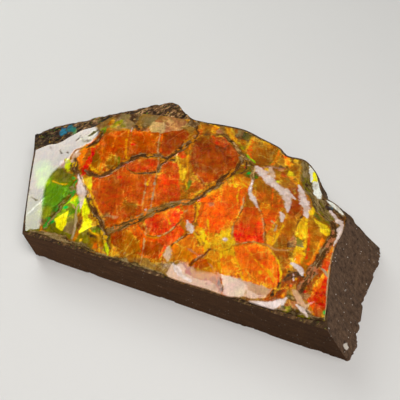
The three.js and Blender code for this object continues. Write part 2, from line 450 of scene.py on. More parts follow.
@dataclass(frozen=True)
class Spot:
    """A small round patch of its own colour."""

    at: Point
    radius: float
    colour: Flash
    strength: float = 1.0


PLATES = [Plate(*row) for row in (
    # Left margin and left end
    ((-48, -2, -37, -28, -32, -27, -36.5, -15, -37.3, -7.5, -36, 0, -33, 4, -32.5, 9, -36, 11, -41, 4),
      F.BROWN, F.OLIVE, -60),
    ((-36.8, 3.6, -34.8, 5, -33.4, 4.6, -33.2, 8.6, -34.4, 9.2, -35.4, 6.6), F.OLIVE, F.KHAKI, 90),
    ((-38.2, -6.5, -34, -5, -31.6, -7.3, -30.5, -11.5, -29.5, -13.5, -30.3, -17, -31.5, -20, -32.3, -24,
      -34.5, -22, -36.2, -18, -37.7, -14), F.OLIVE, F.GREEN, -90),
    ((-36, -4.5, -34.6, -4.2, -32.3, -7, -32.6, -8, -34.5, -8, -36.2, -6.5), F.OLIVE, F.BRONZE, -20),
    ((-37, -11.5, -31.3, -11.2, -30.4, -17, -32, -19, -36.2, -18), F.GREEN, F.GREEN, -90),
    ((-36, -18.3, -31.5, -19, -31.8, -22, -32.5, -25, -34.7, -21), F.GREEN, F.KHAKI, -80),
    # Left plates
    ((-34.2, -0.5, -33.5, 3, -32, 6.5, -31.3, 8, -28.7, 10.2, -26, 11.5, -24.9, 12.5, -23.5, 8, -21.7, 3.7,
      -20.9, 1.2, -22, -1.5, -23.3, -4.3, -24.5, -5.8, -26.5, -6.6, -29, -6.2, -31, -6, -33.6, -3), F.COPPER,
      F.ORANGE, 60),
    ((-34.2, -0.5, -31.5, 3, -30.7, 1, -30.2, -2, -28.3, -5.3, -31, -6, -33.6, -3), F.MANGO, F.BRASS, 0),
    ((-30.5, 2, -27, -1, -25, -5.5, -28, -5.4, -30.2, -2), F.BRASS, F.BRONZE, 0),
    ((-26, 1.5, -22.5, 1, -22.3, -1.5, -24, -4, -25.5, -2), F.BRONZE, F.BRASS, -60),
    ((-32.4, 1.8, -31, 2.2, -30.8, 0, -31, -2.6, -31.9, -3.2, -32.4, -1), F.BURNT, F.BRASS, 0),
    ((-31.6, 2.3, -30.2, 2, -29.4, -2, -28.6, -7, -29.4, -8.2, -30.8, -5.5, -30.9, -1), F.RED, F.RED),
    ((-24.9, 13, -19, 14.5, -16.8, 14, -16, 10.5, -14.8, 7.2, -16.7, 5.2, -18.7, 4.2, -20, 2.9, -20.9, 1.5,
      -22.5, 6, -23.5, 9.5), F.ORANGE, F.COPPER, -70),
    ((-16.8, 14, -15, 16.5, -12, 18.3, -9.8, 16.5, -9.2, 14, -9.8, 12, -10.2, 9.5, -11, 7, -11.5, 5.9, -14.2,
      6.2), F.BURNT, F.BURNT, -90),
    ((-9.8, 9.5, -9.2, 10.5, -8, 9.5, -7, 8, -6, 5.9, -9.5, 6.1, -10.3, 8), F.EMBER, F.AMBER, -70),
    # Middle plates
    ((-7.4, 16, -6.5, 17.8, -3.5, 18.5, 2, 18.2, 4.2, 16.4, 5.6, 13.5, 5.8, 10, 5.2, 6.5, 4.2, 3.3, 2.5, 1,
      0, 1.5, -2.8, 3, -4.3, 5, -5.6, 7.5, -7, 12), F.RUST, F.COPPER, -25),
    ((-7.2, 18, -4.5, 19, -4.2, 15.5, -6, 13.5, -7.3, 15), F.BRASS, F.RUST, -60),
    ((-4.4, 19.5, -1, 20.5, 1, 18.5, 0.2, 16.2, -2, 15.9, -3.6, 17.5), F.BURNT, F.EMBER, -40),
    ((6.4, 15, 8.5, 13.6, 10, 12.5, 10.8, 10, 11.5, 8, 9, 7.8, 6.4, 7.5), F.BRASS, F.OLIVE, -10),
    ((9, 10.2, 10.6, 10.4, 12.8, 10, 12, 8.3, 10.6, 8.2, 9.2, 8.8), F.OLIVE, F.PEAT, -20),
    ((6.3, 7.3, 9, 7.6, 11.4, 7.8, 11.9, 4.5, 12.2, 1, 12.6, -2.7, 12.6, -6, 12.3, -8.5, 11, -9, 10.5, -13,
      8, -14.8, 5.5, -13.2, 3.5, -10, 2.5, -6.5, 1.5, -4.5, 2.3, -2, 3.8, 0.8, 5.2, 4), F.MANGO, F.VIVID,
      -95),
    ((1.8, -5.2, 3.4, -4.8, 3.9, -8, 3.8, -11, 2.9, -10, 2.2, -7), F.BRONZE, F.ORANGE, 0),
    ((4.2, -12.4, 6, -12.6, 7.8, -14.6, 6.8, -15.2, 4.8, -14.4), F.MELON, F.SUN, 0),
    ((6, 7.4, 8.2, 8, 11.3, 7.9, 11.6, 5, 10.5, 3.3, 8, 4, 6.4, 3.4, 5.5, 5), F.BRONZE, F.MELON, -60),
    ((3.4, 0.6, 5, 1.8, 6.2, 0, 6, -2.4, 4.4, -2.8, 3, -1.4), F.MELON, F.MANGO, -60),
    ((-13, 0, -12, -0.3, -10.3, -4, -9, -9, -8, -13.5, -9.5, -14.5, -11.5, -17.5, -15.5, -21.2, -17.5, -20.3,
      -20.5, -17.3, -24.5, -13, -26.5, -11.5, -27.8, -9.3, -26, -7, -24.5, -6, -23, -4, -21.5, -0.5, -19, -2,
      -15.5, -1.8), F.COPPER, F.ORANGE, 150),
    ((-15.5, -11.5, -12, -12, -11.3, -15.5, -13.5, -18, -15.3, -16.5), F.BRASS, F.COPPER, -90),
    ((-18.2, -18.2, -15, -17.8, -14.7, -17, -17.8, -17.3), F.SALMON, F.SALMON),
    ((-11.5, 0.3, -6, 0.8, -4.5, -2, -3, -4.8, -2.9, -6.6, -4.7, -8.3, -6.8, -10, -8.3, -12, -9.3, -8.5,
      -10.2, -4), F.ORANGE, F.EMBER, 60),
    ((-12, 0.7, -11.8, 4.7, -9.7, 5.4, -7.5, 5, -5, 1, -6, 0), F.COPPER, F.EMBER, 0),
    ((-8.8, 6, -7, 5.9, -5.8, 4.2, -4.4, 1.2, -4.6, 0, -5.6, 0.6, -7, 3), F.AMBER, F.GOLD, -60),
    ((-20.8, 0.5, -18.7, 3.3, -16, 4.5, -14, 5, -12.3, 3, -12.2, 0.8, -13.5, -0.2, -16, -1.2, -19, -1.8,
      -21.3, -0.8), F.COPPER, F.EMBER, -40),
    ((-3.3, 2.5, 0, 1.2, 2.2, 0.6, 1, -2.3, -0.3, -5.2, -1.5, -5.7, -2.3, -3.5, -3.3, -0.5), F.COPPER,
      F.BRONZE, -60),
    ((-3.4, 1.6, -2.3, 1, -2.2, -2, -2.9, -3.2), F.OLIVE, F.GREEN, -90),
    ((-1.6, -3.6, 0.6, -2.2, 1.8, -2.6, 0.8, -4.4, -0.8, -5.2), F.GOLD, F.MELON, -160),
    ((-1.5, -7.5, 0.8, -6.3, 2.6, -9, 3.6, -11.5, 2, -13, 0.3, -12.3, -0.8, -9.8), F.ORANGE, F.EMBER, -60),
    ((-8.3, -15.3, -6.5, -12.3, -4.5, -10.5, -2, -8.3, -0.5, -10, 0, -12.5, -0.5, -15, -1.5, -17.2, -3,
      -18.7, -5.3, -19.3, -7, -17.5), F.EMBER, F.FLAME, 45),
    ((-6.2, -12, -3, -9.2, -1.5, -9.5, -2.2, -12.5, -4.6, -14.2), F.MANGO, F.EMBER, -80),
    ((-11, -18.3, -8.5, -16, -5.5, -19.5, -2.8, -18.9, -1.3, -17.3, 0.3, -13.5, 2.5, -15.5, 1.3, -19, 0, -21,
      0, -24, -4.3, -25, -9, -23.5, -13, -22, -14, -21.3), F.COPPER, F.EMBER, 30),
    ((-14.5, -21.5, -11, -19.5, -7, -21.5, -5.2, -24.2, -11, -24.7, -14.5, -24), F.BURNT, F.BRONZE, 0),
    ((-6, -21.5, -3, -20.3, -1, -20.8, -0.5, -24.2, -5, -24.4), F.BURNT, F.BURNT),
    # Right plates
    ((12.9, -2.5, 15.7, -1, 16.4, -1.2, 18.4, -3.5, 19.3, -5.5, 20.3, -8, 21.4, -11, 18, -12.2, 15.8, -13.2,
      14.3, -12.8, 13.4, -11, 12.6, -8, 12.8, -5.5), F.ORANGE, F.FLAME, -100),
    ((10.4, -7.8, 12.4, -8.4, 13, -11, 12.6, -14.6, 11.4, -14.4, 10.4, -12), F.MELON, F.SUN, -75),
    ((12.7, -11.7, 14.6, -12.7, 15.2, -14.4, 13.8, -15.7, 12.6, -14.4), F.SUN, F.GOLD, 30),
    ((7.4, -13.8, 10.4, -12.9, 12.6, -14.2, 14.6, -15.4, 12.8, -17.2, 10.4, -17.4, 9, -16.2), F.MELON,
      F.GOLD, 0),
    ((12.3, 8, 15, 8.5, 19, 6, 21, 4, 22.2, 1.2, 19.5, 0, 16.7, 0.2, 14.5, 0.8, 12.9, 3), F.BRONZE, F.ORANGE,
      -30),
    ((16.3, -0.5, 19.5, -0.2, 22, 0.7, 21.8, -2.5, 21.5, -6, 21, -9, 19.5, -5.5), F.ORANGE, F.MANGO, -90),
    ((16.5, 0.7, 18.7, 0.9, 19.4, -0.6, 18.9, -3.1, 17.7, -2.4, 16.6, -1), F.MELON, F.MANGO, -90),
    ((21.6, -5, 23.5, -6.5, 24, -10, 23.5, -11.5, 21.8, -11, 20.8, -8.5), F.AMBER, F.MELON, -80),
    ((22.9, 4.9, 26.4, 4.3, 27.3, 1, 27, -3, 27.3, -8, 28, -10.4, 24.5, -11.5, 24, -8, 23.6, -4, 23.4, 0.8),
      F.BURNT, F.BRONZE, -90),
    ((27.2, -6, 28.6, -7.5, 28.7, -9.5, 26.8, -10.6, 26.4, -8.6), F.SALMON, F.BROWN, -90, 0.4),
    ((27.5, 1.2, 28.3, 1, 29.2, -2, 30.2, -5.8, 29.8, -7, 28, -6.4, 27.2, -3), F.AMBER, F.GOLD, -60),
    ((28.4, -6.6, 29.8, -7.2, 30.8, -9, 30, -9.6, 28.6, -8.6), F.OLIVE, F.KHAKI, -60),
    ((28.9, -8.9, 30.7, -9, 31.5, -12, 31.9, -14.3, 29.5, -14.3, 28.9, -12), F.GOLD, F.MELON, -90),
    ((29.6, 2, 31.5, 0.3, 34.9, -2, 35, -5.5, 34.8, -9, 34.2, -13.2, 32.6, -14, 31.9, -10, 30.9, -5.5, 29.8,
      -1.5), F.BRONZE, F.BRONZE, -10),
    ((33.8, -4, 34.9, -5, 34.8, -9, 34.2, -13.2, 33, -13.8, 33.6, -8), F.MELON, F.MANGO, -90),
    ((36.8, -5, 37.5, -6.5, 38.3, -10.5, 38.8, -13.5, 37, -14, 36, -12, 36.3, -8), F.MANGO, F.EMBER, -90),
    ((35.8, -13.5, 37.5, -13.8, 36.8, -18, 35.5, -21.5, 34.8, -18), F.BURNT, F.BURNT),
    ((37.8, -14, 39, -15.5, 40, -20, 40.5, -23, 39.5, -25.4, 37.2, -24, 36, -22.5, 37, -18.5), F.RED,
      F.EMBER, -90),
    ((37.2, -14.6, 38, -15.4, 37.9, -18.5, 37.4, -21, 36.2, -22.4, 36.6, -19), F.MELON, F.MANGO, -90),
    ((38.2, -22.6, 40.4, -22, 40.8, -24.4, 40, -25.8, 38.4, -24.8), F.BURNT, F.RED, 60, 0.2),
    ((29.8, -15.5, 31.5, -16, 33.3, -16.6, 33.8, -20, 33.2, -22, 31, -21.5, 29.8, -22, 29.5, -19), F.BURNT,
      F.BRONZE, 180, 0.35),
    ((30.2, -17.4, 31.6, -16.8, 32.7, -18.2, 32.4, -20.4, 31, -21, 30, -19.8), F.RUST, F.RUST, -60, 0.3),
    ((29.3, -20.4, 29.7, -17.8, 30.9, -16.5, 32.4, -15.9, 33.7, -17.2, 33.6, -19.8, 32.8, -20.4, 32.6, -18.4,
      31.4, -18.2, 30.4, -19.4, 30.1, -21.6, 29.4, -22), F.UMBER, F.BURNT, -60, 0.3),
    ((28.7, -22.3, 31, -21.5, 31.3, -23.3, 29.6, -25.2, 27.8, -24.4), F.UMBER, F.BURNT, 0, 0.4),
    ((30.8, -20.8, 32, -20.6, 32.2, -22.6, 31.2, -22.8), F.BURNT, F.OCHRE, -90),
    ((31.3, -22.8, 34, -22.5, 36.4, -25, 41.4, -26.1, 41.6, -27.4, 31, -27.4), F.PEAT, F.RUST, 0, 0.6),
    ((31.9, -24.1, 34.4, -23.8, 35.2, -25.6, 33, -26, 31.6, -25.4), F.BURNT, F.SALMON, -40, 0.4),
    ((31.9, -25.6, 33.3, -25.3, 34.2, -26.8, 33, -27.9, 31.8, -27), F.MOSS, F.PEAT, 0),
    # Front plates
    ((15.5, -15.3, 16.8, -13.3, 19.5, -12.1, 22.3, -12, 24.6, -13.5, 26.6, -15.6, 28.2, -18.3, 29, -20.7,
      28.9, -28.1, 20.3, -28.1, 18.5, -20.2, 16.9, -17.8), F.MANGO, F.MELON, -80),
    ((22.5, -12, 27.5, -11.3, 28.6, -13, 29.4, -16, 29.3, -21, 28.4, -18, 26.6, -15.4, 24.5, -13.2), F.BRASS,
      F.ORANGE, -60),
    ((12.8, -17.3, 15.2, -15.6, 16.9, -18, 18.7, -20.8, 20.3, -23, 19, -28.1, 15, -28.1, 15.2, -23, 13.8,
      -20), F.AMBER, F.MANGO, -90),
    ((13, -17, 15, -15.8, 16.6, -18, 17.4, -19.6, 15.4, -19, 13.8, -18.6), F.GOLD, F.MELON, -60),
    ((10.2, -18, 12.6, -17.6, 13.5, -20.5, 15.2, -23.2, 17.7, -28.1, 7, -28.1, 7.6, -23.2, 8.8, -20.8),
      F.AMBER, F.BRONZE, -90),
    ((8.4, -21, 10.3, -20.4, 11.4, -22.4, 9.8, -23.6, 7.8, -23.6), F.BURNT, F.ORANGE, -120),
    ((4.5, -15, 7, -17.4, 9.7, -18.2, 8.3, -21, 7.2, -23.2, 7, -28.1, 0, -28.1, 1.5, -19.5, 2.8, -16.8),
      F.BRONZE, F.MELON, 60),
    ((0, -28.1, 1, -25.6, 2.4, -24, 5, -23.3, 7.4, -23.8, 8.4, -25.4, 7.4, -28.1), F.OCHRE, F.BURNT, 0),
    ((2.4, -26.6, 3, -24.6, 5, -23.7, 6.6, -24.3, 7, -25.6, 9, -26, 13.8, -25.7, 16.4, -26, 17.7, -28.1, 4,
      -28.1), F.ROSE, F.ROSE),
    ((17.9, -28.1, 16.6, -25.9, 15.2, -23.2, 20, -22.9, 27.8, -22.8, 28.6, -28.1), F.BLUSH, F.ROSE, 0),
    ((18.6, -28.1, 20, -27.4, 22.2, -26.6, 24.6, -26.5, 26.8, -25.4, 28.2, -22.7, 29.2, -24.6, 28.8, -28.1),
      F.OCHRE, F.BURNT, 0, 0.65),
    ((-13, -28.1, -12.6, -26, -9, -25, -7, -25.6, -4, -24.8, -1.6, -25.4, 1.4, -24.8, 1.6, -28.1), F.OCHRE,
      F.BRONZE, 180, 0.35),
    # Left front plates
    ((-28.7, -14.7, -26, -14.3, -25.3, -17, -23.8, -19.2, -23, -22, -23, -26, -31.5, -25.8, -30.2, -19),
      F.LIME, F.OLIVE, -90),
    ((-28.3, -16.6, -26, -17.6, -25.2, -20, -26.4, -21, -28.4, -19.4, -29.2, -18), F.OLIVE, F.GREEN, 0),
    ((-28.6, -14.8, -27.2, -14.2, -27, -16, -28.2, -16.4), F.LEMON, F.GOLD, 180),
    ((-25.3, -16.2, -24.2, -16.3, -22.9, -18, -21.9, -19.7, -20.2, -20.4, -19.6, -21.3, -20.7, -22.5, -21.1,
      -24.3, -22.1, -24, -22.5, -21.3, -23.5, -19), F.YELLOW, F.YELLOW, -60),
    ((-25.6, -14.2, -24.3, -14.1, -22.2, -17, -21.6, -18.8, -23.2, -18.8, -25, -17.4), F.YELLOW, F.YELLOW),
    ((-24.4, -15.2, -22.4, -16.6, -20.3, -18.8, -19.9, -20.3, -21.7, -19.4, -22.4, -17.4), F.AMBER, F.BRONZE,
      -40),
    ((-27.8, -19.3, -27.1, -20.8, -26.2, -23.3, -26.4, -24.8, -28.7, -24, -29.8, -22), F.YELLOW, F.YELLOW,
      -90),
    ((-26.8, -20.3, -25, -19.3, -24, -22, -24, -25, -26.2, -24.8), F.MOSS, F.KHAKI, -90),
    ((-24.9, -18.6, -23.8, -19.2, -22.8, -21.3, -22.4, -24.5, -23.2, -23, -24.4, -20.6), F.AMBER, F.BROWN,
      -90),
    ((-28.4, -8.8, -26.6, -7.7, -25.9, -9.3, -24.6, -11.9, -26.4, -11.4, -28.4, -9.6), F.GOLD, F.YELLOW, 0),
    ((-22, -24.8, -20.8, -22.6, -19.5, -21.4, -18, -20.8, -16.5, -22.5, -14, -25.5, -13.2, -27.4, -22,
      -27.4), F.OLIVE, F.BRONZE, -50, 0.3),
    ((-16.4, -23, -14.7, -22.4, -13.4, -24, -10.4, -25.8, -11.4, -27, -14, -27.2), F.OLIVE, F.AMBER, 0),
    # Back plates
    ((-32.6, 19, -28, 20, -25.4, 20, -25, 15, -24.6, 12.4, -26.5, 12.2, -28.7, 11.6, -30.7, 11.8, -32.3, 9,
      -35.6, 10, -34.4, 14.4), F.OCHRE, F.KHAKI, -20, 0.3),
    ((-29, 16, -27.8, 14.8, -27, 12.8, -28.4, 12, -29.6, 13), F.STRAW, F.OLIVE, -90),
    ((-33.4, 10, -32, 11.4, -31, 9.6, -31.4, 8.4, -32.4, 8.8), F.MOSS, F.GREEN, 0),
    ((-31, 11.8, -29.2, 12.4, -28.6, 14.6, -29.4, 15.8, -30.8, 14), F.BRONZE, F.MOSS, 90),
    ((-30.6, 13, -29.8, 12.8, -29.2, 14.6, -29.6, 15.6, -30.4, 14.4), F.MOSS, F.MOSS),
    ((-32.4, 12.4, -31, 12, -30.8, 14.4, -31.8, 15.2), F.BURNT, F.AMBER, 90, 0.25),
    ((-32, 18, -29.4, 18.4, -28.8, 16.4, -30.6, 15.4, -32, 16), F.BROWN, F.KHAKI, 0, 0.3),
    ((-29, 19.4, -25, 20.5, -25.2, 15, -27.4, 16.2), F.UMBER, F.STRAW, 60, 0.9),
    ((-25.4, 20.5, -20, 21.4, -20.5, 17, -21.5, 14.5, -25.2, 14), F.OCHRE, F.KHAKI, 20, 0.5),
    ((-23, 14.6, -20.8, 14.8, -20.6, 13.2, -22.6, 12.9), F.BROWN, F.SALMON),
    ((-21, 17.8, -19, 18.4, -15, 17.7, -15.3, 16, -16.8, 14.2, -19.5, 13.3, -20.8, 14.5), F.TAN, F.TAN, 0,
      0.2),
    ((-20.3, 21.5, -14, 22.4, -11.9, 20.4, -12.4, 17.7, -15.5, 17.5, -20.6, 18.3), F.OCHRE, F.SALMON, -60,
      0.3),
    ((-17.8, 19.8, -16.2, 20, -15, 18.6, -16.4, 18, -17.6, 18.6), F.SALMON, F.SALMON, 0),
    ((-16.8, 17.5, -12.3, 17.7, -14, 16.7, -16.7, 14.6), F.SALMON, F.TAN, 0, 0.1),
    ((-13, 18, -12, 20.4, -9.4, 20.2, -9, 16.2, -11, 17.8), F.OCHRE, F.BRONZE, -90),
    ((-9, 21.5, -9.3, 24.2, -3, 25.2, 2.7, 25.6, 5.5, 24.8, 5.6, 21, 3, 21.5, 0.5, 20.6, -2.3, 20.8, -5.5,
      18.8, -7.6, 17), F.BRONZE, F.BROWN, 0, 0.2),
    ((-8.8, 22, -7.6, 21.6, -7, 18, -7.8, 17.6, -8.6, 19.6), F.AMBER, F.EMBER, -90),
    ((-7, 22, -5.6, 21.8, -4.8, 19.2, -6.4, 18.2), F.BRONZE, F.BROWN, -90, 0.2),
    ((-5.8, 24.4, -4.2, 24.6, -4.3, 20.4, -5.6, 20.6), F.MELON, F.AMBER, -90),
    ((-4.1, 24.6, -2.6, 24.6, -2.2, 21.4, -4.1, 21), F.OCHRE, F.SALMON, -90, 0.1),
    ((-2.6, 24.4, -0.6, 24.6, 1.2, 22.4, 2.6, 20.8, 0.8, 20.4, -1.4, 22.2), F.AMBER, F.MELON, -50),
    ((0.8, 24.8, 2.8, 25, 3, 22.6, 1.6, 22), F.KHAKI, F.BROWN, 0, 0.2),
    ((2.6, 25.4, 5.6, 25, 5.5, 22.6, 4, 21.8, 3, 22.6), F.PEAT, F.OLIVE, 0),
    ((2.5, 21.4, 4, 21.8, 5.3, 21.4, 5.7, 18, 4.4, 17.5, 3, 19.3, 1.6, 20.6), F.BRONZE, F.OLIVE, -80),
    ((-12.5, 23.4, -9.5, 23.8, -9, 20, -12.5, 20), F.KHAKI, F.BROWN, 0, 0.8),
    ((5.8, 23.8, 5.9, 20.5, 6.8, 17.2, 8.7, 14.9, 11, 13.2, 13, 14.2, 13.8, 18.7, 13.4, 22.2, 10.3, 23.5),
      F.BRONZE, F.BRASS, -60),
    ((7, 23.4, 11, 23.2, 12, 21.6, 8.6, 21.2), F.BRONZE, F.AMBER, 0),
    ((6, 16.8, 7.2, 16.4, 9.8, 14.4, 9.8, 13.6, 8, 14.4), F.OLIVE, F.LIME, 0),
    ((13.2, 22.6, 15.6, 21.4, 15.3, 18, 14.6, 14.3, 13, 14.4, 13.6, 18.7), F.AMBER, F.BRONZE, -90),
    ((15.2, 21.3, 21.3, 21, 22.5, 17, 23.6, 13.5, 22.7, 10.8, 19, 12.5, 16, 11.5, 14.5, 14), F.BRASS,
      F.BRONZE, -60),
    ((15.4, 20.4, 17, 20.6, 19, 18, 18.2, 16.6, 16.8, 17.8), F.MANGO, F.MELON, -60),
    ((18.4, 21, 20.2, 21, 20, 19.2, 18.8, 19), F.AMBER, F.GOLD, 90),
    ((15.8, 16.8, 17.6, 16.4, 17.6, 14.6, 16.2, 14), F.BROWN, F.SALMON, -60),
    ((18.7, 15.8, 20, 15.6, 21.2, 13, 20, 12.6, 18.9, 14), F.SUN, F.MELON, -60),
    ((17.4, 14, 18.8, 13.8, 19.8, 11.8, 18.6, 11, 17.4, 12.4), F.BURNT, F.RED, -60),
    ((21.4, 20.6, 22.6, 18, 23.6, 14, 22.6, 13, 21.6, 16.4), F.BROWN, F.OCHRE, -90, 0.2),
    ((20.6, 13.4, 22, 12.6, 24.5, 7.6, 24.2, 5.6, 22, 8.6, 20, 10.6), F.MELON, F.BRONZE, -60),
    ((16, 11.4, 19.5, 12.3, 22.8, 10.3, 24.5, 7.5, 25, 5, 23, 5.5, 20.5, 7.5, 17, 9.5), F.BRONZE, F.BURNT,
      -20),
    ((22.5, 20.7, 25.3, 18, 27.2, 15, 28.8, 11.8, 30.6, 9.7, 28, 8.5, 25, 12, 23, 16.5), F.UMBER, F.KHAKI,
      -60, 0.8),
    ((25.2, 17.6, 26.4, 16.8, 27.4, 15, 26.6, 14, 25.2, 14.6, 25, 16), F.YELLOW, F.YELLOW, -60),
    ((30.4, 9.6, 34, 8.3, 37.2, 5.3, 37.7, 0, 36.6, 0.4, 34.6, 2.2, 31.6, 5.6, 29, 8.8), F.UMBER, F.BROWN,
      -60, 0.85),
    ((25.6, 12, 27.6, 9, 30, 4.8, 30.2, 3.2, 29, 4, 27.8, 6.6, 25.6, 9.8), F.KHAKI, F.BROWN, -60, 0.3),
    ((29.4, 3.4, 33.4, 1.4, 35.8, -1, 35.2, -1.8, 32.8, 0.4, 29.4, 2), F.OLIVE, F.AMBER, -30, 0.2),
    ((28.6, 4.6, 29.5, 3.6, 29.6, 2, 28.4, 1.6, 28, 3), F.GOLD, F.SUN, 0),
    ((30.2, 0.9, 32, 0.5, 34.2, -0.4, 35.4, -1.4, 35.5, -2.6, 34.4, -3.3, 33, -2.4, 31.8, -1, 30.6, 0),
      F.SUN, F.SUN, 0),
    ((34, -20.5, 36.5, -21.5, 36.2, -23, 34.6, -22.8, 33.2, -22), F.BROWN, F.SALMON, 0, 0.5),
)]

VEINS = [Vein(*row) for row in (
    ((-15.7, -22, 1.6, -14.3, -20.7, 1.8, -12.3, -18.7, 2, -10.3, -16.3, 2.1, -9, -14.6, 2.2, -7.7, -12.7,
      2.4, -6, -10.5, 2.5, -4.3, -8.7, 2.3, -2.3, -7, 1.9, -0.7, -6.1, 1.9, 0.5, -5.2, 1.8, 1.3, -3.1, 1.5,
      1.9, -1.8, 1), F.OCHRE, F.MELON, 0.32),
    ((0.8, -4.4, 1, 1.4, -3, 1.7, 2.2, -1, 1.9, 3.1, 1, 2, 4.1, 3, 1.8, 4.9, 5, 1.7, 5.8, 7.7, 1.7, 6.3,
      10.3, 1.5, 6.5, 12.5, 1.4, 6.2, 14.3, 1.3, 5.6, 16, 1), F.BROWN, F.AMBER, 0.2),
    ((-34, -3.3, 0.9, -33, -5, 1.8, -31.7, -7, 1.6, -29.8, -8.3, 0.7, -27.9, -10.5, 0.5, -25.8, -12.7, 0.9,
      -23.5, -15.5, 1.4, -20.7, -18, 1.6, -18.7, -19.3, 1.4, -17.3, -21, 1.4, -16, -22.7, 1.6, -14.7, -24.3,
      1.4, -13.3, -26, 1.2), F.BROWN, F.GOLD),
    ((-29.2, -6, 0.9, -27.5, -6.6, 1.4, -26, -6.7, 1.5, -24.3, -5.8, 1.4, -23, -4.3, 1.3, -22.6, -2.5, 1.4,
      -22, -1.3, 1.4, -21, 0.7, 1.6, -19.8, 2.6, 1.6, -18.7, 4, 1.6, -16.7, 5, 1.6, -14, 6, 1.4, -11.3, 5.9,
      1, -9.7, 6.1, 0.6),),
    ((-20, -1.3, 0.4, -18, -2, 0.6, -15.7, -1.7, 0.6, -13.5, -0.5, 0.7, -12.1, 0.7, 0.8),),
    ((-12, 0.7, 1, -12.3, 3, 1, -11.8, 4.7, 1.2, -10.8, 7, 1.2, -10, 9.7, 1.2, -9.3, 12, 1.6, -9, 14, 1.6,
      -8, 15, 1.4, -7.7, 16.3, 1, -8, 18, 0.7, -8.9, 19.7, 0.7, -9.5, 21.7, 1, -11, 22.9, 1.4), F.BROWN,
      F.AMBER, 0.3),
    ((-2.3, 21.2, 0.7, -0.3, 20.3, 1.1, 2, 19, 1.3, 3.7, 17.3, 1.4, 5.3, 16, 1.5, 7, 15, 1.4, 8.7, 13.8, 1.1,
      10, 13, 1, 10.7, 11.3, 1, 11, 9.3, 1, 11.7, 7.3, 0.7), F.OCHRE, F.TAN, 0.3),
    ((21.7, 20, 1.7, 22.3, 18.7, 2, 23.3, 15.7, 2.1, 24.3, 13, 2.4, 26, 10.3, 2.7, 27.9, 9, 2.8, 29.6, 6.7,
      3.1, 31, 4.6, 3.2, 33.3, 2.9, 2.8, 35.3, 1, 2.5, 36.2, -1, 2.2, 36, -3.5, 2), F.KHAKI, F.OLIVE),
    ((35.2, 1.5, 1.8, 36, -1, 2, 36, -3.5, 2, 35.7, -5.7, 2.2, 35.3, -9, 2.1, 35, -13, 2.2, 34.5, -16.3, 2,
      34.1, -19, 1.8, 33.7, -21.7, 1.3), F.BROWN, F.SALMON, 0.3),
    ((10.2, -17.7, 0.5, 9.3, -19.7, 0.6, 8.3, -21, 0.7, 7.3, -23, 0.7), F.RUST, F.TAN),
    ((4.2, -14.7, 0.4, 2.7, -16.7, 0.5, 1.7, -18.7, 0.4, 1, -20, 0.3), F.RUST, F.TAN),
    ((-30.4, -9.6, 0.6, -30.2, -11.6, 1.2, -29.2, -13.2, 1.7, -29, -14.8, 1.5, -30, -17, 1.5, -30.5, -19.7,
      1.8, -31, -22, 1.8, -31.5, -24.7, 1.5), F.OLIVE, F.EMERALD, 0.3),
    ((-32.2, 9.4, 0.8, -31.5, 7.5, 0.9, -31.4, 5.3, 1, -32, 3.5, 0.9, -33.2, 1.7, 0.6), F.BROWN, F.OLIVE),
    ((-34.5, -27, 0.9, -28, -26.6, 1.6, -23, -26.8, 1.7, -18, -27.2, 1, -13, -27.4, 0.7, -9, -27.2, 0.8, -4,
      -27.2, 0.8, 0, -27.3, 0.7, 3, -27.7, 0.5), F.KHAKI, F.STRAW),
    ((28.4, -27, 0.6, 31, -27.4, 1, 34, -26.9, 1.2, 38, -26.6, 1.4, 41.6, -26.2, 1.2), F.UMBER, F.OLIVE),
    ((-9, 23.5, 0.8, -3, 24.9, 0.7, 2.7, 25.3, 0.8, 8, 24, 0.7, 13.4, 22.6, 0.6, 16.4, 20.4, 0.5, 21.1, 20.6,
      0.7), F.BROWN, F.GOLD),
)]

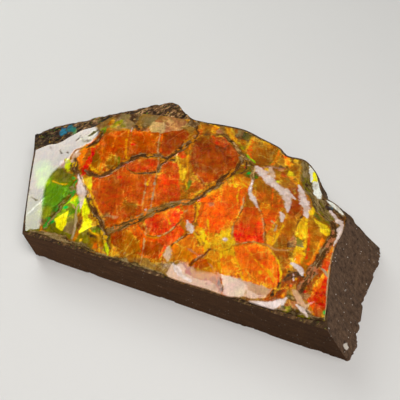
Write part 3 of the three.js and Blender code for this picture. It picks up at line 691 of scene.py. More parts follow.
CRACK_LINES = [CrackLine(*row) for row in (
    (F.BROWN, 0.5, (13.2, -15.9, 14.2, -15.1, 15.6, -13.9, 17.6, -12.6, 19.6, -11.8, 21.8, -11.5, 23.4,
      -11.9, 25, -12, 27, -11.3, 28.8, -10.1, 29.5, -9)),
    (F.TAN, 0.4, (14.6, -14.6, 16.6, -13.2, 18.6, -12.1, 20.6, -11.6, 22.6, -11.6, 24.3, -12.1, 26.7, -11.5,
      28.6, -10.3)),
    (F.BROWN, 0.4, (16.5, -0.8, 18.5, -3.4, 19.3, -5.2, 20.4, -7.9, 21.4, -10.4, 22, -11.6)),
    (F.TAN, 0.3, (16.3, -1, 18.3, -3.7, 19.1, -5.5, 20.1, -8, 21.1, -10.4)),
    (F.BROWN, 0.35, (0.2, -12, -0.4, -14.7, -1.3, -17, -3, -18.8, -5.5, -19.5)),
    (F.TAN, 0.3, (-17.3, 14, -16, 10, -14.7, 7, -13.3, 4, -12.3, 1.5)),
    (F.MANGO, 0.3, (-16.6, 14, -15.4, 10.4, -14.1, 7.4)),
    (F.GREIGE, 0.35, (-12.4, 1, -11.4, -2, -10.4, -5, -9.2, -9, -8.6, -11.6)),
    (F.TAN, 0.35, (-13.6, -3, -12.3, -6.5, -11.4, -9.3, -11, -12)),
    (F.GOLD, 0.5, (-12.9, -2, -12.7, -3.6, -12.4, -5)),
    (F.MILK, 0.5, (-9.4, -12.2, -9.1, -12.9, -8.7, -13.6)),
    (F.GOLD, 0.5, (-25.5, 12, -24.6, 9, -23.4, 5.6, -22.2, 3, -20.9, 1.2)),
    (F.UMBER, 1.2, (-25.4, 14.2, -23.8, 13.4, -22, 13.2)),
    (F.MILK, 0.3, (-25.2, 13.2, -24.8, 11.6)),
    (F.UMBER, 0.3, (-24.7, 10.6, -23.2, 6.6, -21.8, 3.4)),
    (F.MELON, 0.35, (-30.7, 6, -29.3, 3.3, -28, 1, -26.7, -2, -25.8, -5.3)),
    (F.MELON, 0.6, (-33.4, 3, -33, 0.4, -32.5, -2.6, -30.6, -5.2)),
    (F.GOLD, 0.9, (-29.8, -3.6, -28.2, -4.7, -25.5, -5.6)),
    (F.MELON, 0.3, (-28.5, 10.2, -27.4, 7, -26.7, 4)),
    (F.OLIVE, 0.5, (-23.6, 1.6, -22.6, -0.4, -22.9, -2.4)),
    (F.MELON, 0.3, (-8.2, 13, -6.8, 9, -5.9, 6.2, -4.9, 3.6, -3.5, 0)),
    (F.GOLD, 0.35, (-7.6, 10.6, -6.4, 7.2, -5.2, 4, -4.2, 1.6)),
    (F.SUN, 0.4, (-7.6, 5.2, -6.7, 3, -5.6, 0.9)),
    (F.GOLD, 0.4, (-10.2, 6.5, -8.4, 6.3, -7, 6.1)),
    (F.MELON, 0.9, (-5.6, 0.8, -4.4, -1.4, -3.1, -3.7, -2.7, -6.2)),
    (F.GOLD, 0.35, (-4.1, 0.8, -3.2, -1.2, -2.2, -3, -1.2, -5.2)),
    (F.BROWN, 0.3, (-2.5, -2.6, -1.1, -5)),
    (F.SUN, 0.45, (1.3, -5.1, 2.1, -6, 3, -7.3)),
    (F.BROWN, 0.35, (1.5, -6.2, 2.6, -8.8, 3.2, -11.6)),
    (F.GOLD, 0.3, (2.2, -6.6, 3.2, -9.2, 3.6, -11.4)),
    (F.TAN, 0.5, (0.2, -8.4, -0.3, -9.6)),
    (F.TAN, 0.3, (-0.6, -14.6, -1.4, -16.8, -2.2, -17.8)),
    (F.AMBER, 0.3, (-1.7, -17.6, -3.2, -19.2, -5.6, -19.9)),
    (F.GOLD, 0.35, (-4.2, -12, -2.9, -13.3, -1.8, -14.5)),
    (F.TAN, 0.28, (-7, -16.5, -6, -20.3, -4.9, -24, -4.2, -27)),
    (F.MANGO, 0.35, (-9.4, -17.4, -7.6, -18.8, -5.4, -20.6)),
    (F.MANGO, 0.35, (-9, -18.6, -7, -20.4, -5.8, -22.6)),
    (F.SUN, 0.8, (4.7, -13.2, 7, -15, 9.8, -17.2)),
    (F.GOLD, 0.6, (4.3, -14.5, 7, -16.5, 9.3, -18.2, 10, -18.5)),
    (F.GOLD, 0.6, (8.4, -17, 9.3, -17.4, 10, -17.3)),
    (F.AMBER, 0.3, (3.4, -17, 5, -19.4, 6, -22.4)),
    (F.SALMON, 0.4, (5, -19.4, 6.6, -19.9, 8.2, -20.5)),
    (F.SALMON, 0.35, (10.8, -21.4, 12, -22, 13.2, -23)),
    (F.GOLD, 0.3, (5.4, -8.4, 6.6, -10.6, 8, -13.8)),
    (F.MELON, 0.35, (6.8, -7.6, 8.4, -11, 9.6, -14.6)),
    (F.MELON, 0.4, (7.2, 2.6, 8, -0.6, 8.8, -2.6)),
    (F.SUN, 0.4, (6.4, 6.6, 7.2, 4.8, 8.6, 3.2)),
    (F.GOLD, 0.4, (8.2, 6.8, 9.8, 5, 11.4, 4.2)),
    (F.GOLD, 0.3, (9.4, 3.4, 10, 1, 10.8, -1.4)),
    (F.SUN, 0.8, (12.4, -17.2, 13.5, -20, 14.9, -22.7)),
    (F.BURNT, 1.3, (14.2, -22.4, 14.9, -24.2, 15.8, -26, 16.8, -27.6)),
    (F.BROWN, 0.6, (15, -24, 15.9, -25.8, 16.9, -27.6)),
    (F.UMBER, 0.5, (16.3, -25.6, 17.2, -27, 18.2, -28.1)),
    (F.GOLD, 0.5, (14.8, -15, 16.5, -17.8, 18.7, -20.4, 20.4, -22.8)),
    (F.MELON, 0.5, (15.4, -14.8, 17.2, -17.6, 19.4, -20.4)),
    (F.SUN, 0.45, (22.3, -11.9, 24.6, -13.5, 26.6, -15.5, 28, -17.8, 28.8, -19.9, 29.2, -22)),
    (F.GOLD, 0.25, (17.4, -13.9, 21.4, -16.8, 25.2, -19, 27.6, -21)),
    (F.GOLD, 0.25, (23, -17.4, 25.4, -18.6, 28, -20.8)),
    (F.MELON, 0.35, (23.2, -13.4, 26, -16.4, 27.6, -19.6)),
    (F.RED, 0.35, (27, -17, 28, -19, 28.9, -22)),
    (F.GOLD, 0.3, (-36.3, -11.3, -33.5, -11.8, -31.3, -11.3)),
    (F.LEMON, 1.6, (-36.2, -3.8, -35.1, -5.2, -34, -7.3)),
    (F.BLUSH, 1.6, (-34.7, 0.4, -34.5, -1.8, -34.5, -4)),
    (F.UMBER, 0.25, (11.9, 0.6, 12.7, -2.7, 12.7, -5.7, 12.6, -8, 13.3, -11.3, 13.8, -12.7)),
    (F.TAN, 0.3, (11.6, 1, 12.4, -2.4, 12.4, -4.6)),
    (F.TAN, 0.3, (12.3, -7.6, 13, -10.4, 13.7, -12.9)),
    (F.SUN, 0.7, (28.4, 0.6, 29, -1.6, 29.8, -4.3, 30.5, -7, 31.2, -10, 31.8, -13.8)),
    (F.EMBER, 0.6, (29.9, -2, 30.9, -5.5, 31.8, -9, 32.6, -13.4)),
    (F.BROWN, 0.4, (26.8, 4, 27.2, 0, 26.9, -3, 27, -6)),
    (F.GOLD, 0.5, (23.9, -4, 23.6, -7, 23.6, -9.5, 23.2, -11.5)),
    (F.GOLD, 0.6, (22, -8.6, 22.6, -10, 22.4, -11.2)),
    (F.TAN, 0.4, (20.6, -3.8, 22.2, -4.8)),
    (F.GREIGE, 0.5, (22.3, -4.6, 22.5, -5.6, 22.4, -7)),
    (F.MANGO, 0.3, (17.4, 6.6, 18.4, 3.4, 19.4, 0.6)),
    (F.MANGO, 0.3, (20.4, 4, 20.4, 2, 21.2, 0.4)),
    (F.MANGO, 0.9, (6.1, 23.3, 6.3, 20, 6.9, 17.4, 8.4, 15.6)),
    (F.GOLD, 0.4, (5.5, 23.6, 5.6, 20.5, 5.9, 17.6)),
    (F.OLIVE, 0.45, (13.4, 22, 13.6, 18.7, 13.1, 14.5)),
    (F.MELON, 0.5, (13.9, 21.6, 14.2, 18, 13.8, 15.4)),
    (F.GOLD, 0.35, (-1.6, 23.4, 0.4, 21.6, 2.4, 20)),
    (F.LEMON, 0.5, (3, 20.4, 4.7, 18.6, 5.6, 17.6)),
    (F.EMBER, 0.4, (-4.4, 19.4, -2.8, 17.6, -0.8, 16)),
    (F.EMBER, 0.45, (1.3, 18, 2.8, 15.4, 4.5, 12.2)),
    (F.TAN, 0.25, (-2.4, 3.6, -0.8, 2.6, 0.6, 1.4)),
    (F.RUST, 0.35, (1.4, 10, 3, 9.6, 4.8, 8.2)),
    (F.PEAT, 0.9, (-33.8, 8.8, -34, 7.2, -34.8, 6), True),
    (F.PEAT, 1.4, (-35.6, 4.3, -34.4, 4, -33.3, 4.6), True),
    (F.UMBER, 0.35, (-37, 6, -36.8, 4.6, -37.3, 3.2), True),
    (F.UMBER, 0.3, (-36.4, 5.4, -35.8, 4.4), True),
    (F.UMBER, 0.3, (-39.9, -0.6, -38.6, -1.9), True),
    (F.UMBER, 0.35, (-37.6, -1.2, -36.8, -1.4), True),
    (F.BROWN, 0.3, (-43.6, 0.2, -42.4, -0.9), True),
    (F.EMERALD, 0.8, (25.7, 13, 26.3, 11.5)),
    (F.UMBER, 1.1, (33.4, 6.9, 35, 5.5, 36.5, 3.8)),
    (F.UMBER, 0.35, (7, 14.4, 8.1, 12.4, 8.5, 10.2, 8, 8)),
    (F.UMBER, 0.3, (9.4, 13, 9.6, 11, 8.7, 9.4)),
    (F.UMBER, 0.9, (28.2, -24.4, 29, -21.6, 29.4, -19, 30.4, -17.1, 31.8, -16.1)),
    (F.UMBER, 0.6, (32.8, -17.6, 33, -19.6, 32.4, -21.4)),
    (F.MILK, 0.3, (30.9, -17.2, 31.6, -19)),
    (F.UMBER, 0.35, (30.4, -18.7, 31.2, -17.9, 31.9, -17.8)),
    (F.UMBER, 0.35, (30.4, -21, 31.2, -20.1, 32.2, -19.9)),
    (F.EMERALD, 0.9, (-27.4, -15.2, -26.4, -15.8, -25.8, -16.6)),
    (F.TAN, 0.25, (-28.8, -16.2, -27.4, -17.2, -26.2, -18.2)),
    (F.GOLD, 0.45, (-25.4, -11.8, -23.6, -13.6, -21.6, -15.6, -20, -17.2)),
    (F.EMERALD, 0.8, (-31.8, -8.9, -30.9, -9.5)),
    (F.LIME, 0.6, (-4.4, -7.9, -3.6, -8.8)),
    (F.LEMON, 0.6, (-7, -11.2, -6, -12)),
    (F.LEMON, 0.7, (-15.4, -23.6, -14.2, -25.2, -13, -26.8)),
    (F.UMBER, 0.6, (-20.6, -23.4, -18.8, -23.9, -17, -24.1)),
    (F.UMBER, 0.4, (-18.2, -25, -16.6, -25.2, -15.6, -26.4)),
    (F.GOLD, 0.35, (-20.4, -22.3, -19, -23, -17.2, -23.2)),
    (F.GOLD, 0.35, (-17.4, -23, -16.4, -24.8, -15, -27)),
    (F.GOLD, 0.3, (21.6, 18.8, 22.2, 16.6, 22.9, 14.4)),
    (F.GOLD, 0.35, (22.2, 12.6, 23.4, 9.8, 24.2, 7)),
)]

# Steps between plates; their pale tints (milk, snow, blush, greige, rose) are partly the shell's colour and
# partly painted reflection.
LEDGES = [Ledge(*row) for row in (
    ((10.6, 12.8, 0.9, 12.2, 11.4, 2.1, 13.9, 10.5, 2.7, 16.3, 8.8, 2.4, 18.8, 7.2, 2.1, 20.8, 6, 1.8, 22,
      4.4, 1.9, 22.6, 2.9, 1.6, 23.1, 1.3, 1.2, 23.4, 0.5, 0.6), 0.32),
    ((20.6, 7.6, 0.8, 22.2, 6.1, 1.1, 23.7, 5.2, 0.5), 0.1),
    ((13.9, 14, 0.8, 15, 12.4, 1.4, 16, 10.9, 1), 0.1, F.BLUSH),
    ((22.7, 11.2, 0.5, 23.7, 9.6, 1.2, 24.9, 7.6, 1.8, 26.2, 5.4, 2.1, 27.2, 3.3, 2.2, 28, 1.6, 1.5, 28.4,
      0.6, 0.6), 0.3),
    ((11.5, 7.4, 0.5, 12, 5, 0.7, 12.5, 3, 0.9, 13.8, 1.3, 1.1, 15.1, 0.1, 0.9, 16, -1.2, 0.4), 0.15),
    ((10.3, 12.4, 0.3, 10.9, 10.4, 0.35, 11.3, 8.8, 0.3), 0.05, F.TAN),
    ((21.9, -0.5, 0.6, 22.5, -1.5, 1.2, 23.1, -3, 0.7), 0.12),
    ((-30.6, -7.7, 0.3, -29.8, -8.9, 0.6, -28.6, -10.7, 1.4, -27.1, -12.8, 2, -25.9, -14.5, 1.5, -25.1,
      -16.6, 0.8, -24.8, -17.8, 0.5), 0.2),
    ((-25.8, -16.6, 0.4, -25.6, -18.7, 0.5, -24.6, -20.8, 0.5, -23.8, -22.8, 0.6, -23.3, -25.7, 0.6), 0.12,
      F.GREIGE),
    ((1.6, -11.9, 0.5, 2.4, -13, 1.2, 3.2, -13.8, 1.7, 3.9, -14.6, 0.8), 0.12),
    ((0.3, -20.8, 1, 1, -22, 1.8, 1.5, -23.2, 1.6, 1.7, -23.9, 0.8), 0.12, F.BLUSH),
    ((29.6, -14.7, 0.7, 31, -15, 1.2, 32.2, -15.8, 1.2, 32.9, -16.7, 0.5), 0.15),
    ((-2.3, -6.5, 0.3, -1.4, -6, 0.9, -0.5, -5.4, 0.4), 0.02, F.MELON),
    ((-14.6, -24.5, 0.4, -13.7, -25.6, 0.9, -12.9, -26.7, 0.4), 0.02, F.LEMON),
    ((33.6, 6.8, 0.5, 35, 5.6, 0.9, 36.4, 4.2, 0.6), 0.02, F.UMBER),
    ((32.4, -21.4, 0.7, 33.7, -22.3, 1.5, 35.2, -23.7, 1.4, 36.3, -24.8, 0.7), 0.1, F.ROSE),
    ((34.2, -24.7, 0.4, 35.6, -25.2, 0.8, 36.8, -25.9, 0.9, 37.7, -26.5, 0.4), 0.1),
    ((23.4, 19.2, 0.9, 24.3, 17.4, 1.1, 25, 15.4, 0.8, 25.4, 14.2, 0.4), 0.15, F.SNOW),
    ((24.4, 18.2, 1, 25.8, 16.6, 0.9, 27, 14.8, 0.9, 27.9, 12.8, 0.6), 0.15, F.SNOW),
    ((26.4, 14.2, 1.1, 27, 12.8, 1.9, 27.8, 10.9, 2, 28.8, 9, 1.3), 0.2, F.SNOW),
    ((25, 17.3, 0.5, 25.8, 16.1, 1.1, 26.4, 14.9, 0.7), 0.02, F.YELLOW),
    ((31.4, 8.9, 0.8, 33, 8, 1.1, 34.6, 7, 1.2, 36, 5.8, 1.1), 0.1, F.SNOW),
    ((33.2, 5.3, 0.8, 34.5, 3.9, 0.9, 35.6, 2.9, 1, 36.9, 2, 1.5, 37.2, 0.3, 1.4, 37.4, -2.5, 0.8, 37.2,
      -5.6, 0.4), 0.12),
    ((37.4, -6, 0.3, 38, -10, 0.3, 38.5, -13.6, 0.3, 39, -16, 0.35, 40, -20, 0.35, 40.9, -23.3, 0.4, 41.6,
      -25.7, 0.4), 0.05, F.GREIGE),
    ((36.7, -13.3, 0.4, 37.6, -14, 0.6, 38.7, -15.2, 0.5), 0.05, F.GREIGE),
    ((22.4, -27.9, 0.4, 24.2, -27.4, 0.9, 27, -27.1, 1.2, 29.4, -26.3, 1.9, 30.8, -25.1, 1.7, 31.5, -23.9,
      0.7), 0.12),
    ((3.2, -24.4, 0.4, 4.6, -25.2, 1.2, 6.4, -26.4, 1, 9, -27, 0.6), 0.03),
)]

SPOTS = [Spot(*row) for row in (
    ((-42, -6.8), 2.6, F.LIME, 0.35), ((-40.4, -9), 2.8, F.LIME, 0.4), ((-38.6, -11.8), 2.4, F.LIME, 0.5),
    ((13.6, 12.7), 0.7, F.GOLD), ((17.6, 9.6), 0.45, F.LEMON), ((11.3, 8.4), 0.7, F.PEAT),
    ((-25.5, -16.6), 0.6, F.LIME), ((-36.3, -5.3), 1.5, F.MILK, 0.4), ((31.8, -27), 0.8, F.TAN, 0.6),
    ((-13.5, -18), 1.2, F.MELON, 0.6), ((33, 7.2), 0.8, F.TEAL), ((41, -24.3), 0.7, F.EMERALD),
    ((32.4, 4.9), 0.6, F.GOLD), ((-20, -5), 0.7, F.RED), ((-22, 7), 0.6, F.RED), ((19.7, 14.3), 0.8, F.SUN),
    ((-31, -20), 0.7, F.EMERALD), ((-30.3, -22.8), 0.8, F.EMERALD), ((-28.7, -18.5), 0.6, F.EMERALD),
    ((-2, -11), 1.1, F.FLAME), ((15.5, -12), 1.6, F.FLAME), ((-8.2, 16.7), 0.7, F.SALMON),
    ((-14, -25.8), 0.7, F.LIME), ((12.3, -13.8), 0.6, F.MILK), ((5.2, -4.6), 0.9, F.SALMON),
    ((6.8, 15), 0.5, F.MILK), ((34.9, -20.6), 0.6, F.RED), ((34.2, -17), 0.4, F.SALMON),
    ((33.6, -18.8), 0.35, F.TAN), ((31.4, -20.4), 0.4, F.EMBER), ((30.6, -23.4), 0.5, F.MELON),
    ((32.7, -23.3), 0.5, F.TAN), ((-33.4, -21.2), 2.2, F.MOSS, 0.8), ((-33.2, -23.6), 0.9, F.BROWN, 0.6),
    ((13.9, -24.7), 0.8, F.RUST, 0.6), ((14.9, -26.6), 1, F.RUST, 0.5), ((-28.6, 11.3), 1.4, F.OCHRE, 0.8),
    ((-30.1, 12), 0.9, F.MOSS, 0.8), ((12.2, -25.6), 0.45, F.BURNT, 0.8), ((12.8, -26.6), 0.35, F.RUST, 0.7),
    ((-19.4, -25.6), 0.8, F.MOSS), ((-17.4, -21.4), 0.5, F.GREEN), ((-18.6, -22.6), 0.5, F.LIME, 0.7),
    ((-16.6, -26), 0.6, F.MELON, 0.7), ((-20.8, -25.8), 0.4, F.GOLD), ((-11.8, -25.4), 0.6, F.ORANGE),
    ((31.9, -18.6), 0.45, F.AMBER), ((-8.3, 8.2), 0.9, F.FLAME), ((7.4, 11.6), 0.45, F.GOLD),
    ((7.2, 13.5), 0.6, F.AMBER), ((10.3, 11.9), 0.5, F.TAN), ((9.7, 9.5), 0.5, F.EMERALD),
    ((12, 9), 0.4, F.GREEN), ((8.3, 11.2), 0.4, F.RED), ((9, 13.7), 0.4, F.SALMON), ((8, 8.4), 0.5, F.BROWN),
    ((6.9, 9), 0.4, F.BURNT), ((8.8, 12.4), 0.4, F.TAN), ((34.8, -13.8), 0.7, F.RED),
    ((23.7, -19.7), 0.6, F.GOLD), ((-26.4, 17.2), 0.3, F.TAN), ((-28.2, 18), 0.3, F.GREIGE),
)]

# Streaks of blue-green mother-of-pearl on the crust
NACRE = (
    (-43.7, 8.2, 1.2, -42.7, 6.6, 2.1, -41.6, 4.9, 1.3),
    (-42.5, 9.8, 1.2, -41.3, 8.1, 2.0, -40.2, 6.1, 1.4),
    (-40.7, 9.3, 0.8, -39.8, 7.5, 1.2, -39, 5.6, 0.9),
)

# Edge of the polished left margin, and the crazed plates beside it that hardly shine
MARGIN_EDGE = (
    -34.3, 1.2, -34.8, -1.3, -35.8, -3.7, -37.1, -6.2, -38, -8.6, -38, -11.3, -37.4, -14, -36.3, -17,
    -34.9, -20, -33.4, -23, -32.4, -25.4, -32.2, -27.6,
)
DULL = (
    (*MARGIN_EDGE, -22.5, -27.6, -22.5, -17, -27, -12, -30.5, -8, -32, -1),
    (-38, 12, -36, 10.7, -34.5, 10.1, -33.5, 8.9, -32.8, 6.9, -32.6, 4.6, -33.2, 2.9, -34.3, 1.5,
     -34.6, -0.5, -31, -7.4, -28.6, -8.8, -22, -2, -17, 8, -12, 23, -27, 22, -34, 19),
    (-22, -28, -1, -28, -1, -20, -8, -17, -22, -20),
    (7.6, -20.6, 7.8, -23.6, 9.4, -24.3, 11.6, -23.9, 13.4, -23.3, 15, -22.4, 15, -20.4),
    (-1.2, -20, -1.2, -24.8, 2.2, -24.8, 3.8, -23.5, 7.7, -22.9, 7.7, -20),
    (31.6, -22, 31.6, -27.6, 38.4, -27.6, 36.4, -24.4, 34, -21.6),
    (37.6, -21, 42, -21, 42.4, -28, 38.4, -28, 38, -25.6),
    (19, -28.2, 20.5, -27.2, 22.5, -26.4, 24.8, -26, 26.7, -25, 28.2, -22.4, 31.5, -22.4, 30.4, -24.4,
     28, -26.2, 24, -27.2, 23, -28.2),
)
# The milky front margin, where nothing crosses the shell but its cracks
CALM = (2.4, -28.1, 2.6, -25, 5, -23.6, 8.6, -24.2, 13.4, -23.4, 20, -22.8, 28, -22.8, 26.6, -25,
        22.2, -26.4, 18.6, -28.1)


# ---- Form of the whole piece ----


@dataclass(frozen=True)
class Outline:
    """A plan outline as four smooth sides, each with x and y of its points one after another.

    Front and back run from the left, left and right from the front.
    """

    front: Sequence[float]
    right: Sequence[float]
    back: Sequence[float]
    left: Sequence[float]

    def patch(self, across: int, deep: int) -> Array:
        """Grid of plan points that fills the outline (a Coons patch).

        Two blends are added, one between front and back and one between left and right, and the
        blend of the four corners is taken away.

        Args:
            across: cells along the front.
            deep: cells from front to back.

        Returns:
            deep + 1 rows of across + 1 points.
        """
        u = np.linspace(0, 1, across + 1)[None, :, None]
        v = np.linspace(0, 1, deep + 1)[:, None, None]
        front, back = (curve(rows(side), across)[None] for side in (self.front, self.back))
        left, right = (curve(rows(side), deep)[:, None] for side in (self.left, self.right))
        ends = (1 - v) * ((1 - u) * front[:, :1] + u * front[:, -1:])
        ends = ends + v * ((1 - u) * back[:, :1] + u * back[:, -1:])
        return (1 - v) * front + v * back + (1 - u) * left + u * right - ends


BLOCK_TOP = Outline(
    front=(-36.1, FRONT, 43, FRONT),
    right=(43, FRONT, 41.3, -23.3, 39.5, -16, 38.3, -10, 37.8, -5, 38, 0, 37.6, 5.4),
    back=(
        -50.4, 4, -45, 8.6, -40, 11.8, -36, 15, -31.8, 18.4, -27.2, 22.2, -22.4, 25.4,
        -18.9, 27.9, -15.6, 25.4, -12.3, 23.6, -8.5, 24.2, -3, 25.2, 2.7, 25.6, 8, 24.3,
        13.6, 22.8, 16.5, 20.8, 21.3, 20.9, 25.2, 18, 27.3, 15, 28.9, 12, 30.8, 9.9,
        34, 8.6, 37.6, 5.4,
    ),
    left=(-36.1, FRONT, -38.6, -22.7, -41.3, -16.5, -44.6, -9, -47.4, -2.2, -50.4, 4),
)
BLOCK_FOOT = Outline(
    front=(-33.3, FRONT, 48.9, FRONT),
    right=(48.9, FRONT, 49.9, -25.4, 48.7, -18, 47.5, -9.3, 47.7, -2, 47.7, 4, 46.6, 7.6),
    back=(
        -48, 2, -46.6, 6.2, -41, 12.4, -34, 18.4, -26, 23.8, -19, 27, -12, 26.3,
        -5, 25.7, 5, 25.6, 14, 24.2, 21.6, 21.9, 27, 18, 32.6, 13.2, 40.4, 10.4, 46.6, 7.6,
    ),
    left=(-33.3, FRONT, -38.6, -16.5, -43.6, -6, -48, 2),
)
SHELL_EDGE = Outline(
    front=(
        -35.7, -27.2, -33, -26.7, -29, -26.9, -25, -27.2, -21.5, -27, -16.5, -27.5,
        -11, -27.2, -5, -27.3, 0, -27.2, 5, -27.6, 9, -27.6, 13, -27.5, 18, -27.6,
        21.5, -27.1, 25, -27.3, 29, -27.2, 33, -26.9, 37, -26.9, 41.6, -26.1,
    ),
    right=(41.6, -26.1, 40.9, -23.3, 39.1, -16, 37.9, -10, 37.4, -5, 37.6, 0, 37.1, 5.2),
    back=(
        -47.1, -1.4, -44.3, 0.7, -41.8, 1.6, -39.8, 4.4, -37.6, 8, -35.2, 10.2,
        -33.8, 13.8, -31.4, 17.6, -28, 18.9, -24, 20.3, -19, 21.2, -15, 22, -12, 23.1,
        -8.5, 23.8, -3, 24.8, 2.7, 25.2, 8, 23.9, 13.4, 22.4, 16.4, 20.4, 21.1, 20.5,
        24.9, 17.7, 26.9, 14.7, 28.5, 11.7, 30.4, 9.5, 34, 8.1, 37.1, 5.2,
    ),
    left=(-35.7, -27.2, -38.3, -22.3, -42.4, -13, -47.1, -1.4),
)


@dataclass(frozen=True)
class Dome:
    """The smooth top of the whole piece, which falls away towards the left, the front and the back."""

    rim_height: float = 7.4
    rise: float = 4.1
    left_roll: float = 20.0
    front_roll: float = 16.0
    back_roll: float = 15.0
    front_fall: float = 0.72
    front_slope: float = 0.0055
    back_fall: float = 0.45
    left_line: Line = ((-36.1, FRONT), (-50.4, 4.0))
    back_lines: tuple[Line, Line] = (((-50.4, 4.0), (-19.0, 28.0)), ((-19.0, 28.0), (37.0, 9.0)))

    @staticmethod
    def right_of(plan: Array, line: Line) -> Array:
        """Distance to the right of a line: the cross product with it, over its length.

        Args:
            plan: x and y in the last axis.
            line: its start and stop.

        Returns:
            One distance for each place, negative to the left.
        """
        (ax, ay), (bx, by) = line
        across = (plan[..., 0] - ax) * (by - ay) - (plan[..., 1] - ay) * (bx - ax)
        return across / math.hypot(bx - ax, by - ay)

    @staticmethod
    def _fall(away: Array, roll: float) -> Array:
        """Share lost at a distance in from an edge: (1 - distance / roll) squared, none past the roll."""
        return np.clip(1 - np.maximum(away, 0) / roll, 0, None) ** 2

    def height(self, plan: Array) -> Array:
        """Height of the dome: the rim plus the rise, times what each of three edges leaves of it.

        Args:
            plan: x and y in the last axis.

        Returns:
            One height for each place.
        """
        back = np.minimum(*(self.right_of(plan, line) for line in self.back_lines))
        front_share = self.front_fall - self.front_slope * plan[..., 0]
        kept = 1 - self._fall(self.right_of(plan, self.left_line), self.left_roll)
        kept *= 1 - front_share * self._fall(plan[..., 1] - FRONT, self.front_roll)
        kept *= 1 - self.back_fall * self._fall(back, self.back_roll)
        return self.rim_height + self.rise * kept


DOME = Dome()


# ---- The shell layer ----


@dataclass
class ShellLayer:
    """The fossil shell: one thin, crazed sheet whose healed cracks lie as grooves between its plates."""

    across: int = 400
    deep: int = 216
    thin: int = 8  # one point in this many is kept on the hidden underside
    wall: tuple[float, ...] = (0.22, 0.55, 1.0)  # depths of the rings down the wall, as shares
    lean: float = 0.8  # how far the right end runs outwards for each millimetre down
    lean_ramp: float = 6.0
    craze_size: float = 2.4
    craze_step: float = 0.03
    vein_depth: float = 0.14
    line_depth: float = 0.03
    waver: float = 0.16  # how far the drawn lines waver
    left_calm: Point = (6.5, 10.5)  # distances from the left end where the relief starts and is full
    front_calm: Point = (3.5, 7.0)  # and from the front
    side_earth: float = 0.75  # how far earth covers the layer's thin side
    sharp: float = 50.0  # edges that turn by more than this angle, in degrees, stay sharp

    def relief(self, plan: Array) -> Array:
        """Height of the surface above the dome.

        Plates stand a little higher or lower than their neighbours, veins and fine cracks are round
        grooves, and pale ledges are steps whose high side sinks back to the dome.

        Args:
            plan: places as rows of x and y.

        Returns:
            One height for each place.
        """
        left = 1 - smooth(DOME.right_of(plan, DOME.left_line), *self.left_calm)
        calm = 1 - 0.8 * np.maximum(left, 1 - smooth(plan[:, 1] - FRONT, *self.front_calm))
        wall, own = cells(plan + 0.25 * jitter(plan, 1.1, 3), self.craze_size, 11)
        height = self.craze_step * (own - 0.5) * smooth(wall, 0.0, 0.35)
        height = calm * (height + 0.045 * rough(plan, 5.0, 21, 3) + 0.012 * rough(plan, 0.9, 25, 2))
        moved = plan + self.waver * jitter(plan, 0.9, 31)
        for ledge in LEDGES:
            kept, off, width, run = near_line(moved, ledge.path(), reach=6.0)
            ramp = smooth(off / width, -0.5, 0.5) * (1 - smooth(off - width / 2, 0.6, 5.0))
            height[kept] += ledge.rise * ramp * smooth(run, 0, 0.12) * (1 - smooth(run, 0.88, 1))
        for vein in VEINS:
            kept, off, width, _ = near_line(moved, vein.path(), reach=3.0)
            bowl = 1 - smooth(np.abs(off) / width, 0.1, 0.7)
            height[kept] -= self.vein_depth * bowl * (0.7 + 0.5 * rough(plan[kept], 0.8, 41, 3))
        for line in CRACK_LINES:
            kept, off, width, _ = near_line(moved, line.path(), reach=0.9)
            height[kept] -= self.line_depth * (1 - smooth(np.abs(off) / width, 0.2, 0.9))
        return height

    def build(self) -> bpy.types.Object:
        """Makes the shell as one closed surface: a fine top, a wall that thins out and a coarse underside.

        Returns:
            The object, with the attributes that its finish reads.
        """
        made = Surface()
        plan = SHELL_EDGE.patch(self.across, self.deep)
        flat = plan.reshape(-1, 2)
        top = np.column_stack([flat, DOME.height(flat) + self.relief(flat)])
        upper = made.add(top.reshape(*plan.shape[:2], 3))
        made.grid(upper)
        ring = around(upper)
        edge = top[ring]
        along = (np.arange(len(ring)) - self.across) / self.deep
        lean = self.lean * np.clip(self.lean_ramp * np.minimum(along, 1 - along), 0, 1)
        for k, share in enumerate(self.wall):
            low = edge.copy()
            low[:, 0] += lean * LAYER * share
            low[:, 2] += share * (DOME.height(edge[:, :2]) - LAYER - edge[:, 2])
            if k + 1 < len(self.wall):
                after = made.add(low[:: 2 ** (k + 1)])
                made.band(ring, after)
                ring = after
        base = plan[:: self.thin, :: self.thin]
        under = np.concatenate([base, (DOME.height(base) - LAYER)[..., None]], axis=-1)
        order = np.arange(base[..., 0].size).reshape(base.shape[:2])
        under.reshape(-1, 3)[around(order)] = low[:: self.thin]
        lower = made.add(under)
        made.grid(lower, up=False)
        made.band(ring, around(lower))
        piece = made.piece("iridescent_shell", self.sharp)
        place = made.place()
        paint = ShellPaint(place[:, :2])
        side = smooth(DOME.height(place[:, :2]) - place[:, 2], 0.15, 0.35)
        side[: upper.size] = 0
        give(piece, "flash", paint.flash)
        give(piece, "earth", np.maximum(paint.earth, self.side_earth * side))
        give(piece, "gloss", paint.gloss * (1 - side))
        piece.data.materials.append(ShellFinish().material())
        return piece


def around(grid: Array) -> Array:
    """The border of a grid, anticlockwise from its first corner."""
    return np.concatenate([grid[0, :-1], grid[:-1, -1], grid[-1, :0:-1], grid[:0:-1, 0]])


def jitter(plan: Array, size: float, seed: int) -> Array:
    """Random shift in x and y for each place, which makes drawn lines look grown."""
    return np.stack([noise(plan, size, seed), noise(plan, size, seed + 50)], axis=-1)


# ---- The stone ----


